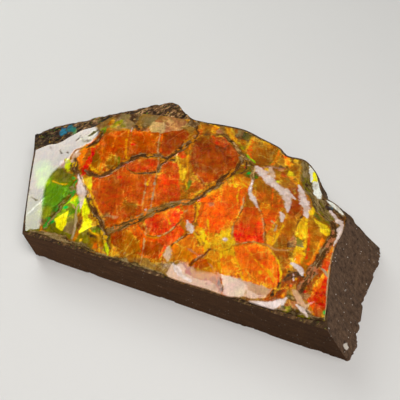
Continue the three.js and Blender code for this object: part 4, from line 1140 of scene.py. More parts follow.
@dataclass(frozen=True)
class Sector:
    """One stretch of the stone's border: the same share of the shell's edge, the top edge and the foot.

    It names a side of each of the three outlines and where the stretch stops there. It starts where
    the sector before it stops.
    """

    name: str
    count: int
    sides: tuple[str, str, str]
    stops: tuple[Point, Point, Point]
    level: float  # how high the stone lies beside the shell, against the dome
    crust: float  # how rough it is there
    broken: float  # how far the wall below is broken
    chips: float  # how deep the foot is chipped
    pale: Point  # how light the stone is beside the shell, from the start of the stretch to its stop

    def runs(self, before: "Sector") -> list[Array]:
        """The stretch along each of the three outlines.

        Args:
            before: the sector before it, whose stops are its starts.

        Returns:
            Three runs of evenly spaced points, without the last one.
        """
        outlines = (SHELL_EDGE, BLOCK_TOP, BLOCK_FOOT)
        sides = [rows(getattr(outline, side)) for outline, side in zip(outlines, self.sides)]
        return [stretch(*run, self.count)[:-1] for run in zip(sides, before.stops, self.stops)]


SECTORS = [Sector(*row) for row in (
    ("front", 344, ("front",) * 3, ((41.6, -26.1), (43, FRONT), (48.9, FRONT)), -0.4, 0.22, 0.0, 0.3,
     (1.1, 0.5)),
    ("right", 184, ("right",) * 3, ((37.1, 5.2), (37.6, 5.4), (46.6, 7.6)), -0.3, 0.05, 0.0, 0.8, (0.6, 0.6)),
    ("back", 280, ("back",) * 3, ((-12, 23.1), (-12.3, 23.6), (-12, 26.3)), -0.1, 0.15, 1.0, 0.0, (0.6, 0.6)),
    ("hump", 112, ("back",) * 3, ((-31.4, 17.6), (-31.8, 18.4), (-34, 18.4)), 0.0, 1.0, 1.0, 0.0, (1.3, 1.2)),
    ("crust", 136, ("back",) * 3, ((-44.3, 0.7), (-50.4, 4), (-48, 2)), 0.0, 0.9, 1.0, 0.0, (1.5, 0.3)),
    ("corner", 32, ("back", "left", "left"), ((-47.1, -1.4), (-47.4, -2.2), (-45.6, -2.2)), -0.1, 0.6, 1.0,
     0.0, (0.3, 0.3)),
    ("left", 144, ("left",) * 3, ((-35.7, -27.2), (-36.1, FRONT), (-33.3, FRONT)), -0.25, 0.15, 0.6, 0.2,
     (0.45, 0.45)),
)]
COUNTS = [sector.count for sector in SECTORS]
AROUND = sum(COUNTS)


@dataclass
class ShaleStone:
    """The stone: a bed under the shell, a crusted border, a sawn front, a ground end, bedded broken sides."""

    bond: float = 0.1  # how far the bed lies below the shell
    overlap: float = 0.05  # how far the border reaches under the shell's edge, so that no gap shows
    crust_rows: int = 36
    wall_rows: int = 30
    middle: Point = (-4.0, -4.0)
    # Rings of the bed and of the underside: share of the way out, and one point in how many is kept
    bed_rings: tuple[tuple[float, int], ...] = (
        (0.12, 8), (0.3, 8), (0.55, 8), (0.8, 8), (0.93, 4), (0.975, 2), (1.0, 1),
    )
    foot_rings: tuple[tuple[float, int], ...] = ((0.97, 2), (0.9, 4), (0.7, 8), (0.4, 8), (0.15, 8))
    relief: float = 0.45
    hump_at: Point = (-20.0, 24.5)
    hump_reach: Point = (6.5, 3.0)
    hump_height: float = 1.0
    # Bedding on the broken sides: share of the way down, and how far it juts out there
    ledges: tuple[Point, ...] = (
        (0, 0), (0.12, 0.1), (0.27, 0.75), (0.4, -0.5), (0.58, 0.6), (0.7, -0.3), (0.88, 0.5), (1, 0),
    )
    strata: float = 0.55  # thickness of the fine beds
    corner_ramp: int = 14  # points over which a broken wall grows out of a sawn or ground one
    blur: int = 6  # points over which one sector's crust passes into the next
    sharp: float = 38.0  # edges that turn by more than this angle, in degrees, stay sharp

    def _by_sector(self, field: str, blur: int) -> Array:
        """Spreads a field of the sectors over the border, blurred by a mean over the points beside each one.

        Args:
            field: its name; it holds one value, or one for the start and one for the stop.
            blur: number of points in the mean on each side.

        Returns:
            One value for each point of the border.
        """
        pairs = [np.broadcast_to(getattr(sector, field), 2) for sector in SECTORS]
        steps = np.concatenate([np.linspace(*pair, count) for pair, count in zip(pairs, COUNTS)])
        return np.mean([np.roll(steps, k) for k in range(-blur, blur + 1)], axis=0)

    def crust(self, plan: Array, level: Array, amount: Array, away: Array) -> Array:
        """Height of the bare stone beside the shell.

        The dome, plus a level that fades out away from the shell, plus rough relief with ridges along
        one direction, plus a round hump at the back.

        Args:
            plan: places as rows of x and y.
            level: how high the stone lies right beside the shell, against the dome.
            amount: how rough it is.
            away: distance from the shell.

        Returns:
            One height for each place.
        """
        x, y = plan.T
        turned = np.stack([0.9 * x + 0.45 * y, 0.3 * (0.9 * y - 0.45 * x)], axis=-1)
        field = amount * self.relief * (0.8 * rough(plan, 2.6, 61, 5) + 0.5 * rough(turned, 0.9, 71, 3))
        x, y = ((plan - self.hump_at) / self.hump_reach).T
        bump = self.hump_height * np.exp(-(x**2) - y**2)
        grown = smooth(away, 0.05, 1.2)
        return DOME.height(plan) + level * (1 - 0.5 * grown) + field * grown + bump * grown

    def build(self) -> bpy.types.Object:
        """Makes the stone as one closed surface of rings, from the middle of the bed to that of the foot.

        Returns:
            The object, with the attributes that its finish reads.
        """
        made = Surface()
        runs = zip(*(sector.runs(SECTORS[k - 1]) for k, sector in enumerate(SECTORS)))
        edge, top, foot = (np.vstack(parts) for parts in runs)
        middle = np.array(self.middle)
        inward = middle - edge
        edge = edge + self.overlap * inward / np.linalg.norm(inward, axis=1, keepdims=True)
        depth = LAYER + self.bond
        chain = []
        for share, step in self.bed_rings:
            plan = middle + share * (edge[::step] - middle)
            chain.append(np.column_stack([plan, DOME.height(plan) - depth]))
        level, amount = (self._by_sector(field, self.blur) for field in ("level", "crust"))
        for share in np.arange(self.crust_rows + 1) / self.crust_rows:
            away = share * np.linalg.norm(top - edge, axis=1)
            plan = edge + share * (top - edge)
            chain.append(np.column_stack([plan, self.crust(plan, level, amount, away)]))
        crest = chain[-1]
        chain += self._wall(crest, foot)
        base = chain[-1][:, :2]
        for share, step in self.foot_rings:
            plan = middle + share * (base[::step] - middle)
            chain.append(np.column_stack([plan, np.zeros(len(plan))]))
        pole = made.add(np.array([[*self.middle, DOME.height(middle) - depth]]))[0]
        ring = made.add(chain[0])
        made.fan(ring, pole, up=True)
        for points in chain[1:]:
            after = made.add(points)
            made.band(ring, after)
            ring = after
        made.fan(ring, made.add(np.array([[*self.middle, 0.0]]))[0], up=False)
        piece = made.piece("shale_stone", self.sharp)
        self._dress(piece, made.place())
        return piece

    def _wall(self, crest: Array, foot: Array) -> list[Array]:
        """The rings of the walls, straight where they are sawn or ground, and bedded where they are broken.

        Args:
            crest: the upper edge as rows of x, y and z.
            foot: the lower edge as rows of x and y.

        Returns:
            One ring of points for each row, from the top down.
        """
        start, stop = COUNTS[0] + COUNTS[1], AROUND
        place = np.arange(AROUND)
        broken = smooth(place - start, 0, self.corner_ramp) * smooth(stop - place, 0, self.corner_ramp)
        broken = self._by_sector("broken", 0) * broken
        outward = (np.roll(crest, -1, axis=0) - np.roll(crest, 1, axis=0))[:, 1::-1] * [1, -1]
        outward /= np.linalg.norm(outward, axis=1, keepdims=True)
        chips = self._by_sector("chips", 4) * smooth(rough(foot, 2.2, 95, 4), -0.1, 0.9)
        foot = foot - outward * chips[:, None]
        rings = []
        for share in np.arange(1, self.wall_rows + 1) / self.wall_rows:
            plan = crest[:, :2] + share * (foot - crest[:, :2])
            z = crest[:, 2] * (1 - share)
            plan = plan + outward * (broken * self._jut(plan, z, share))[:, None]
            rings.append(np.column_stack([plan, z]))
        return rings

    def _jut(self, plan: Array, z: Array, share: float) -> Array:
        """How far a broken wall juts out: coarse ledges that come and go, and fine beds of uneven strength.

        Args:
            plan: places as rows of x and y.
            z: their heights.
            share: share of the way down the wall.

        Returns:
            One distance for each place.
        """
        x, y = plan[:, 0] * 0.7, share * 5.0
        waves = np.sin(1.9 * x + 0.7 * y) + np.sin(2.7 * y - 1.1 * x + 1.3) + np.sin(0.8 * x - 1.7 * y + 2.9)
        coarse = np.interp(share, *zip(*self.ledges)) * (0.6 + 0.3 * waves)
        spot = np.column_stack([plan * 0.22, z / self.strata])
        beds = noise(spot, 1.0, 81) + 0.5 * noise(spot * [2, 2, 2.3], 1.0, 83)
        grain = rough(np.column_stack([plan, z * 1.6]), 1.5, 87, 4)
        ends = smooth(np.full_like(z, share), 0, 0.06) * (1 - smooth(np.full_like(z, share), 0.9, 1))
        return coarse + ends * (0.28 * beds + 0.3 * grain)

    def _dress(self, piece: bpy.types.Object, place: Array) -> None:
        """Stores which stone face each point lies on, and gives the piece its finish.

        Args:
            piece: the stone.
            place: its points as rows of x, y and z.
        """
        shape = (self.crust_rows + self.wall_rows + 1, AROUND)
        under = sum(AROUND // step for _, step in self.foot_rings) + 1
        start = len(place) - under - shape[0] * shape[1]
        stop = len(place) - under
        row, column = np.arange(shape[0])[:, None], np.arange(AROUND)
        wall, border = row >= self.crust_rows, row < self.crust_rows
        right = COUNTS[0] + COUNTS[1]
        faces = {
            "sawn": wall & (column < COUNTS[0]),
            "ground": wall & (column >= COUNTS[0]) & (column < right),
            "crust": border * np.clip(0.4 + 0.65 * self._by_sector("crust", self.blur), 0, 1),
            "pale": np.broadcast_to(self._by_sector("pale", 10), shape),
        }
        stored = {name: np.full(len(place), float(name == "pale")) for name in faces}
        for name, block in faces.items():
            stored[name][start:stop] = block.ravel()
            give(piece, name, stored[name])
        plan = place[:, :2] + 0.5 * jitter(place[:, :2], 1.2, 91)
        nacre = np.zeros(len(place))
        for patch in NACRE:
            kept, off, width, run = near_line(plan, curve(rows(patch, 3), 20), reach=2.5)
            cover = (1 - smooth(np.abs(off) / width, 0.3, 0.6)) * smooth(run, 0, 0.15)
            nacre[kept] = np.maximum(nacre[kept], cover * (1 - smooth(run, 0.85, 1)))
        give(piece, "nacre", nacre * stored["crust"])
        piece.data.materials.append(ShaleFinish().material())


# ---- Paint of the shell ----


@dataclass(frozen=True)
class Net:
    """A net of fine cracks over the shell, which shows in some places and fades in others."""

    size: float  # mean width of its cells
    long: float  # how much longer the cells are along the growth
    width: float  # width of its lines
    lift: Point  # how much more red and green its lines flash than the shell they cross
    strength: float
    seed: int
    gate: float  # share of the shell where it fades out, from -1 to 1
    light: float  # how far its cells differ in lightness
    reach: float = 99.0  # how far from the border of a plate or vein it fades out


NETS = (
    Net(5.0, 1.3, 0.15, (1.35, 2.6), 0.75, 201, 0.0, 0.08),
    Net(2.6, 1.0, 0.12, (0.55, 0.4), 0.6, 205, -0.05, 0.14),
    Net(1.9, 2.6, 0.12, (0.6, 0.45), 0.5, 209, -0.1, 0.12),
    Net(1.2, 1.0, 0.12, (1.3, 2.2), 0.45, 213, 0.2, 0.12),
    Net(0.7, 1.2, 0.10, (0.7, 0.6), 0.4, 217, 0.1, 0.12),
    Net(2.3, 1.0, 0.12, (1.4, 2.6), 0.6, 231, -0.3, 0.5, 1.6),
    Net(1.3, 1.0, 0.10, (1.4, 3.6), 0.55, 235, -0.1, 0.6, 0.9),
    Net(0.8, 1.0, 0.09, (1.5, 5.0), 0.6, 239, 0.1, 0.6, 0.5),
)


@dataclass(frozen=True)
class Fibre:
    """A kind of thin fibre along the growth."""

    seed: int
    size: float  # about how far apart they lie
    lift: Point  # how much more red and green they flash than the shell they cross
    strength: float


FIBRES = (
    Fibre(141, 0.75, (1.25, 2.4), 0.6),
    Fibre(144, 0.6, (0.6, 0.5), 0.5),
    Fibre(147, 0.5, (1.2, 1.9), 0.5),
)


class ShellPaint:
    """Colour, wear and painted light of the shell at each place: plates, clouds, crackle, fine cracks, ledges
    and veins.
    """

    soft: float = 0.16  # width over which one plate's colour passes into the next
    dulled: float = 0.99  # share of the gloss that is gone where the shell is dull
    calmed: float = 0.75  # share of the shimmer and the nets that is gone on the milky margin
    near: float = 9.0  # distances to a border above this all count as this

    def __init__(self, plan: Array) -> None:
        """Paints every place.

        Args:
            plan: places as rows of x and y.
        """
        self.plan = plan
        bend, ruffle = jitter(plan, 1.4, 101), jitter(plan, 0.5, 103)
        self.moved = plan + 0.3 * bend + 0.12 * ruffle
        self.steady = plan + 0.12 * bend + 0.05 * ruffle
        self.every = np.arange(len(plan))
        self.flash = np.tile(F.BRONZE.linear, (len(plan), 1))
        self.earth = np.zeros(len(plan))
        self.gloss = np.ones(len(plan))
        ragged = plan + 0.2 * jitter(plan, 1.3, 105)
        for outline in DULL:
            self.gloss *= 1 - self.dulled * smooth(inside(ragged, rows(outline)), -0.5, 0.5)
        self.lively = 1 - self.calmed * smooth(inside(plan, rows(CALM)), -0.4, 0.4)
        self.border = np.full(len(plan), self.near)  # distance to the nearest border of a plate or vein
        self._paint_plates()
        self._shimmer()
        self._paint_nets()
        self._paint_fibres()
        self._paint_lines()
        self._paint_veins()
        self._paint_ledges_and_reflections()

    def _lay(self, kept: Array, colour: Array, cover: Array) -> None:
        """Lays a colour over the places kept, each as far as its cover says."""
        share = np.clip(cover, 0, 1)[:, None]
        self.flash[kept] = self.flash[kept] * (1 - share) + colour * share

    def _paint_plates(self) -> None:
        """Fills each plate with a blend of its two colours, and notes where its border and its wear are."""
        drift = 0.3 * noise(self.plan, 3.0, 111) + 0.15 * noise(self.plan, 1.2, 113)
        for plate in PLATES:
            corners = rows(plate.outline)
            low, high = corners.min(axis=0) - 2, corners.max(axis=0) + 2
            kept = np.flatnonzero(((self.moved > low) & (self.moved < high)).all(axis=1))
            deep = inside(self.moved[kept], corners)
            cover = smooth(deep, -self.soft, self.soft)
            angle = math.radians(plate.toward)
            along = np.array([math.cos(angle), math.sin(angle)])
            ends = corners @ along
            share = (self.moved[kept] @ along - ends.min()) / np.ptp(ends)
            share = smooth(share + drift[kept], 0.1, 0.9)[:, None]
            self._lay(kept, plate.near.linear * (1 - share) + plate.far.linear * share, cover)
            self.border[kept] = np.minimum(self.border[kept], np.abs(deep))
            self.earth[kept] = self.earth[kept] * (1 - cover) + plate.worn * cover
        for vein in VEINS:
            kept, off, width, _ = near_line(self.moved, vein.path(), reach=4.0)
            self.border[kept] = np.minimum(self.border[kept], np.maximum(np.abs(off) - width / 2, 0))
        for spot in SPOTS:
            kept = np.flatnonzero(np.abs(self.moved - spot.at).max(axis=1) < 2 * spot.radius)
            away = np.linalg.norm(self.moved[kept] - spot.at, axis=1) / spot.radius
            self._lay(kept, spot.colour.linear, spot.strength * (1 - smooth(away, 0.4, 1.3)))

    def _shimmer(self) -> None:
        """Varies the flash as real shell does: streaks along the growth and soft clouds.

        Light clouds lift the red more than the green, so that they turn orange, and dark ones turn
        olive. A second field moves the green alone, between red and yellow.
        """
        plan = self.plan
        turned = np.stack([plan @ ALONG / 5, plan @ ACROSS], axis=-1)
        streak = 0.6 * rough(turned, 0.9, 121, 3) + 0.4 * noise(turned, 0.35, 125)
        cloud = rough(plan, 3.4, 131, 4) + 0.2 * smooth(self.border, 2.6, 0.3) - 0.06
        hue = 0.16 * rough(plan, 2.6, 135, 3) + 0.08 * streak
        light = (0.1 * streak + 0.25 * cloud) * self.lively
        self.flash *= np.stack([1 + light, (1 + 0.6 * light) * (1 + hue), np.ones_like(hue)], axis=-1)

    def _lifted(self, red: float, green: float) -> Array:
        """The flash, brighter by a factor in red and another in green, but no yellower than gold by that, and
        with a little blue added where it brightens as a painted highlight that whitens it.

        Args:
            red: factor in red and blue.
            green: factor in green.

        Returns:
            One linear colour for each place.
        """
        own = self.flash[:, 1] / np.maximum(self.flash[:, 0], 1e-3)
        share = np.maximum(own, np.minimum(own * green / red, 0.6))
        lit = self.flash[:, 0] * red
        # Painted highlight: a little blue whitens the brightened lines and fibres.
        blue = self.flash[:, 2] * red + 0.02 * (red > 1)
        return np.clip(np.stack([lit, lit * share, blue], axis=-1), 0, 0.95)

    def _paint_nets(self) -> None:
        """Draws the nets of cracks. Their cells differ in lightness, and a few near a border turn golden."""
        for net in NETS:
            bent = self.plan + 0.15 * net.size * jitter(self.plan, 0.5 * net.size, net.seed + 1)
            turned = np.stack([bent @ ALONG / net.long, bent @ ACROSS], axis=-1)
            wall, own = cells(turned, net.size, net.seed)
            field = smooth(rough(self.plan, 3.6, net.seed + 2, 3), net.gate, net.gate + 0.35)
            near = np.exp(-((self.border / net.reach) ** 2)) * field * self.lively
            bordering = net.reach < self.near
            self.flash *= (1 + net.light * (near if bordering else 1) * (own - 0.5))[:, None]
            line = 1 - smooth(wall, 0.5 * net.width, 1.8 * net.width)
            shard = 0.6 * smooth(own, 0.86, 0.9) if bordering else 0.0
            self._lay(self.every, self._lifted(*net.lift), net.strength * near * np.maximum(line, shard))

    def _paint_fibres(self) -> None:
        """Draws thin pale and dark fibres along the growth, where a long, narrow field crosses zero."""
        turned = np.stack([self.steady @ ALONG / 8, self.steady @ ACROSS], axis=-1)
        for fibre in FIBRES:
            line = 1 - smooth(np.abs(noise(turned, fibre.size, fibre.seed)), 0.04, 0.26)
            gate = smooth(rough(self.plan, 3.0, fibre.seed + 1, 3), 0.0, 0.35) * self.lively
            self._lay(self.every, self._lifted(*fibre.lift), fibre.strength * line * gate)

    def _paint_lines(self) -> None:
        """Draws the fine cracks, broken up by noise: closed ones with a fringe, open ones with no gloss."""
        for line in CRACK_LINES:
            kept, off, width, _ = near_line(self.steady, line.path(), reach=1.8)
            plan = self.plan[kept]
            dots = noise(plan, 0.9, 161) + 0.7 * noise(plan, 0.35, 163)
            away = np.abs(off) - width * (0.48 + 0.4 * dots)
            cover = (1 - smooth(away, -0.08, 0.12)) * (0.4 + 0.6 * smooth(noise(plan, 2.0, 165), -0.4, 0.1))
            if line.open:
                self.gloss[kept] *= 1 - 0.95 * cover
            else:
                fringe = np.exp(-((np.maximum(away, 0) / 0.3) ** 2)) * (0.18 + 0.3 * dots)
                self._lay(kept, 0.45 * self.flash[kept] + 0.55 * F.MELON.linear, fringe)
            self._lay(kept, line.colour.linear, cover * (0.78 + 0.5 * dots))

    def _paint_ledges_and_reflections(self) -> None:
        """Draws the steps between plates, pale in the middle and ragged at the borders, under a soft tan rim;
        the pale tint is partly the shell's own colour and partly a painted reflection.
        """
        for ledge in LEDGES:
            kept, off, width, _ = near_line(self.steady, ledge.path(), reach=2.4)
            plan = self.plan[kept]
            across = np.abs(off) / width
            ragged = 0.26 * rough(plan, 1.1, 171, 4) + 0.07 * noise(plan, 0.3, 173)
            cover = 1 - smooth(across + ragged, 0.36, 0.58)
            tint = ledge.tint.linear * (1 + 0.2 * rough(plan, 0.8, 175, 3))[:, None]
            halo = 0.5 * np.exp(-((across / 0.62) ** 4)) * (0.6 + noise(plan, 0.5, 179))
            self._lay(kept, F.TAN.linear, halo)
            # The pale tint: the shell's milky colour and a painted reflection on the step.
            self._lay(kept, tint, cover * np.clip(0.95 + 0.5 * rough(plan, 1.3, 177, 3), 0.55, 1))
            self.earth[kept] *= 1 - cover

    @staticmethod
    def _toned(tone: Array, middle: Flash) -> Array:
        """Mineral colours along a tone from 0 to 2: umber, a middle one and straw."""
        parts = np.array([F.UMBER.linear, middle.linear, F.STRAW.linear]).T
        return np.stack([np.interp(np.clip(tone, 0, 2), (0, 1, 2), part) for part in parts], axis=-1)

    def _paint_veins(self) -> None:
        """Lays the filling of the veins: streaked stone, from umber to khaki, with shards of shell in it.

        The stone also covers the worn plates in spots, more the more they are worn. Beside each vein and under
        its filling the flash is darkened, a painted shade along the groove.
        """
        spots = noise(self.plan, 0.9, 181) + 0.6 * noise(self.plan, 0.4, 183)
        _, own = cells(self.plan + 0.2 * jitter(self.plan, 0.5, 187), 0.75, 185)
        shift = 0.25 * noise(self.plan, 0.5, 189)
        worn = smooth(self.earth + 0.35 * spots, 0.45, 1.0)
        self._lay(self.every, self._toned(0.7 + 1.1 * spots + 0.8 * (own - 0.5), F.BROWN), 0.75 * worn)
        for k, vein in enumerate(VEINS):
            path = vein.path()
            kept, off, width, run = near_line(self.moved, path, reach=3.2)
            run = run * np.linalg.norm(np.diff(path[:, :2], axis=0), axis=1).sum()
            across = np.abs(off) / width - 0.11 * spots[kept]
            place = np.stack([run / 2.0, off / 0.3 + 7 * k], axis=-1)
            colour = self._toned(0.85 + 1.5 * rough(place, 1.0, 191, 3) + 0.3 * spots[kept], vein.stone)
            place = np.stack([run / 2.6 + shift[kept], off + shift[kept] + 9 * k], axis=-1)
            gap, pick = cells(place, 0.7, 185)
            shard = smooth(pick + 0.2 * np.abs(off) / width - 1 + vein.shards, 0, 0.06)
            shard = shard * smooth(gap, 0.04, 0.14)
            colour = colour * (1 - 0.85 * shard[:, None]) + 0.85 * shard[:, None] * vein.fleck.linear
            cover = 1 - smooth(across, 0.36, 0.6)
            # Painted shade: darkens the flash in the vein's groove and just beside it.
            self.flash[kept] *= (0.68 + 0.32 * smooth(across, 0.5, 0.85))[:, None]
            self._lay(kept, colour, 0.94 * cover)
            self.earth[kept] = np.maximum(self.earth[kept], cover * (1 - 0.5 * shard))
            self.gloss[kept] *= 0.15 + 0.85 * smooth(across, 0.5, 0.95)


# ---- Finishes ----


class Graph:
    """The node graph of a material or of the room, with short calls that add nodes and link or set inputs."""

    def __init__(self, owner: bpy.types.Material | bpy.types.World) -> None:
        """Empties the graph.

        Args:
            owner: the material or the room that it belongs to.
        """
        self.owner = owner
        owner.use_nodes = True
        self.tree = owner.node_tree
        self.tree.nodes.clear()
        self.place = self.node("ShaderNodeTexCoord").outputs

    def node(self, kind: str, inputs: dict | None = None, **settings: object) -> bpy.types.Node:
        """Adds a node.

        Args:
            kind: its type.
            inputs: a socket to link or a value to set, by input name or number.
            settings: its properties.

        Returns:
            The node.
        """
        made = self.tree.nodes.new(kind)
        for name, value in settings.items():
            setattr(made, name, value)
        for name, value in (inputs or {}).items():
            if isinstance(value, Socket):
                self.tree.links.new(value, made.inputs[name])
            else:
                made.inputs[name].default_value = value
        return made

    def value(self, name: str, output: str = "Fac") -> Socket:
        """What the piece stores per point, as a value or as a Color."""
        return self.node("ShaderNodeAttribute", attribute_name=name).outputs[output]

    def along_x(self) -> Socket:
        """Distance along +X, in metres."""
        return self.node("ShaderNodeSeparateXYZ", {0: self.place["Object"]}).outputs["X"]

    def turned(self, scale: Place, angle: float = 0.0) -> Socket:
        """Object coordinates in millimetres, turned about Z and scaled.

        Args:
            scale: factor along each axis.
            angle: the turn, in radians.

        Returns:
            The coordinates.
        """
        turn = self.node("ShaderNodeMapping", {"Vector": self.place["Object"], "Rotation": (0, 0, angle)})
        sizes = [1000 * part for part in scale]
        return self.node("ShaderNodeMapping", {"Vector": turn.outputs[0], "Scale": sizes}).outputs[0]

    def grain(self, size: float, detail: float, scale: Place = (1, 1, 1), angle: float = 0.0) -> Socket:
        """Noise from 0 to 1 whose lumps are about as wide as size, in millimetres."""
        inputs = {"Vector": self.turned(scale, angle), "Scale": 1 / size, "Detail": detail, "Roughness": 0.6}
        return self.node("ShaderNodeTexNoise", inputs).outputs["Fac"]

    def span(self, value: Socket, low: float, high: float, start: float, stop: float) -> Socket:
        """Maps low to start and high to stop, clamped."""
        inputs = {"Value": value, "From Min": low, "From Max": high, "To Min": start, "To Max": stop}
        return self.node("ShaderNodeMapRange", inputs).outputs["Result"]

    def vary(self, value: Socket, start: float, stop: float) -> Socket:
        """Maps the range that noise mostly fills to start and stop."""
        return self.span(value, 0.3, 0.7, start, stop)

    def sums(self, kind: str, a: object, b: object) -> Socket:
        """One step of arithmetic on two values."""
        return self.node("ShaderNodeMath", {0: a, 1: b}, operation=kind).outputs[0]

    def times(self, a: object, b: object) -> Socket:
        """One value times another."""
        return self.sums("MULTIPLY", a, b)

    def plus(self, a: object, b: object) -> Socket:
        """One value plus another."""
        return self.sums("ADD", a, b)

    def ramp(self, value: Socket, stops: Sequence[tuple[float, Array]]) -> Socket:
        """Colours along a value.

        Args:
            value: from 0 to 1.
            stops: places and their linear colours.

        Returns:
            The colour.
        """
        made = self.node("ShaderNodeValToRGB", {"Fac": value})
        band = made.color_ramp.elements
        while len(band) < len(stops):
            band.new(0.5)
        for element, (at, colour) in zip(band, stops):
            element.position = at
            element.color = (*colour, 1)
        return made.outputs["Color"]

    def tones(self, value: Socket, *stops: tuple[float, int, int, int]) -> Socket:
        """Colours along a value, from stops of a place and its red, green and blue from 0 to 255."""
        return self.ramp(value, [(at, linear(*colour)) for at, *colour in stops])

    def blend(self, by: object, a: object, b: object, kind: str = "MIX") -> Socket:
        """Mixes colour b over colour a by a share."""
        a, b = (part if isinstance(part, Socket) else (*part, 1) for part in (a, b))
        return self.node("ShaderNodeMix", {0: by, 6: a, 7: b}, data_type="RGBA", blend_type=kind).outputs[2]

    def finish(self, **inputs: object) -> bpy.types.Material:
        """Ends the graph in one Principled shader; input names have _ for a space.

        Args:
            inputs: sockets and values of the shader.

        Returns:
            The material.
        """
        named = {name.replace("_", " "): value for name, value in inputs.items()}
        shader = self.node("ShaderNodeBsdfPrincipled", named)
        self.node("ShaderNodeOutputMaterial", {"Surface": shader.outputs[0]})
        return self.owner


@dataclass(frozen=True)
class ShellFinish:
    """Polished, clear-coated shell, duller where brown mineral fills its veins."""

    coat_roughness: float = 0.05
    coat_ior: float = 1.6
    base_rough: float = 0.4
    vein_rough: float = 0.7
    base_gloss: float = 0.0  # the clear coat alone is glossy
    lumps: float = 0.00015  # depth of the fine relief, in metres

    def material(self) -> bpy.types.Material:
        """Builds the finish from the flash, earth and gloss that the piece stores.

        Returns:
            The material.
        """
        g = Graph(bpy.data.materials.new("iridescent_shell"))
        flash, earth, gloss = g.value("flash", "Color"), g.value("earth"), g.value("gloss")
        fibre = g.grain(0.45, 3, (1, 0.16, 1), -GROWTH - math.pi / 2)
        speck = g.grain(0.5, 4)
        light = g.times(g.vary(fibre, 0.86, 1.12), g.vary(speck, 0.9, 1.1))
        hue = g.vary(g.grain(1.1, 3), 0.49, 0.512)
        lively = g.node("ShaderNodeHueSaturation", {"Hue": hue, "Value": light, "Color": flash}).outputs[0]
        edge = g.span(earth, 0.15, 0.85, 0, 1)
        dust = g.vary(g.grain(0.3, 4), 0.55, 1.35)
        colour = g.blend(edge, lively, g.blend(1.0, flash, dust, "MULTIPLY"))
        height = g.plus(g.times(dust, edge), g.times(speck, 0.12))
        bump = g.node("ShaderNodeBump", {"Height": height, "Distance": self.lumps, "Strength": 0.6})
        return g.finish(
            Base_Color=colour, Roughness=g.span(edge, 0, 1, self.base_rough, self.vein_rough),
            Specular_IOR_Level=self.base_gloss, Coat_Weight=g.times(gloss, g.span(edge, 0, 1, 1.0, 0.2)),
            Coat_Roughness=self.coat_roughness, Coat_IOR=self.coat_ior, Normal=bump.outputs[0],
        )


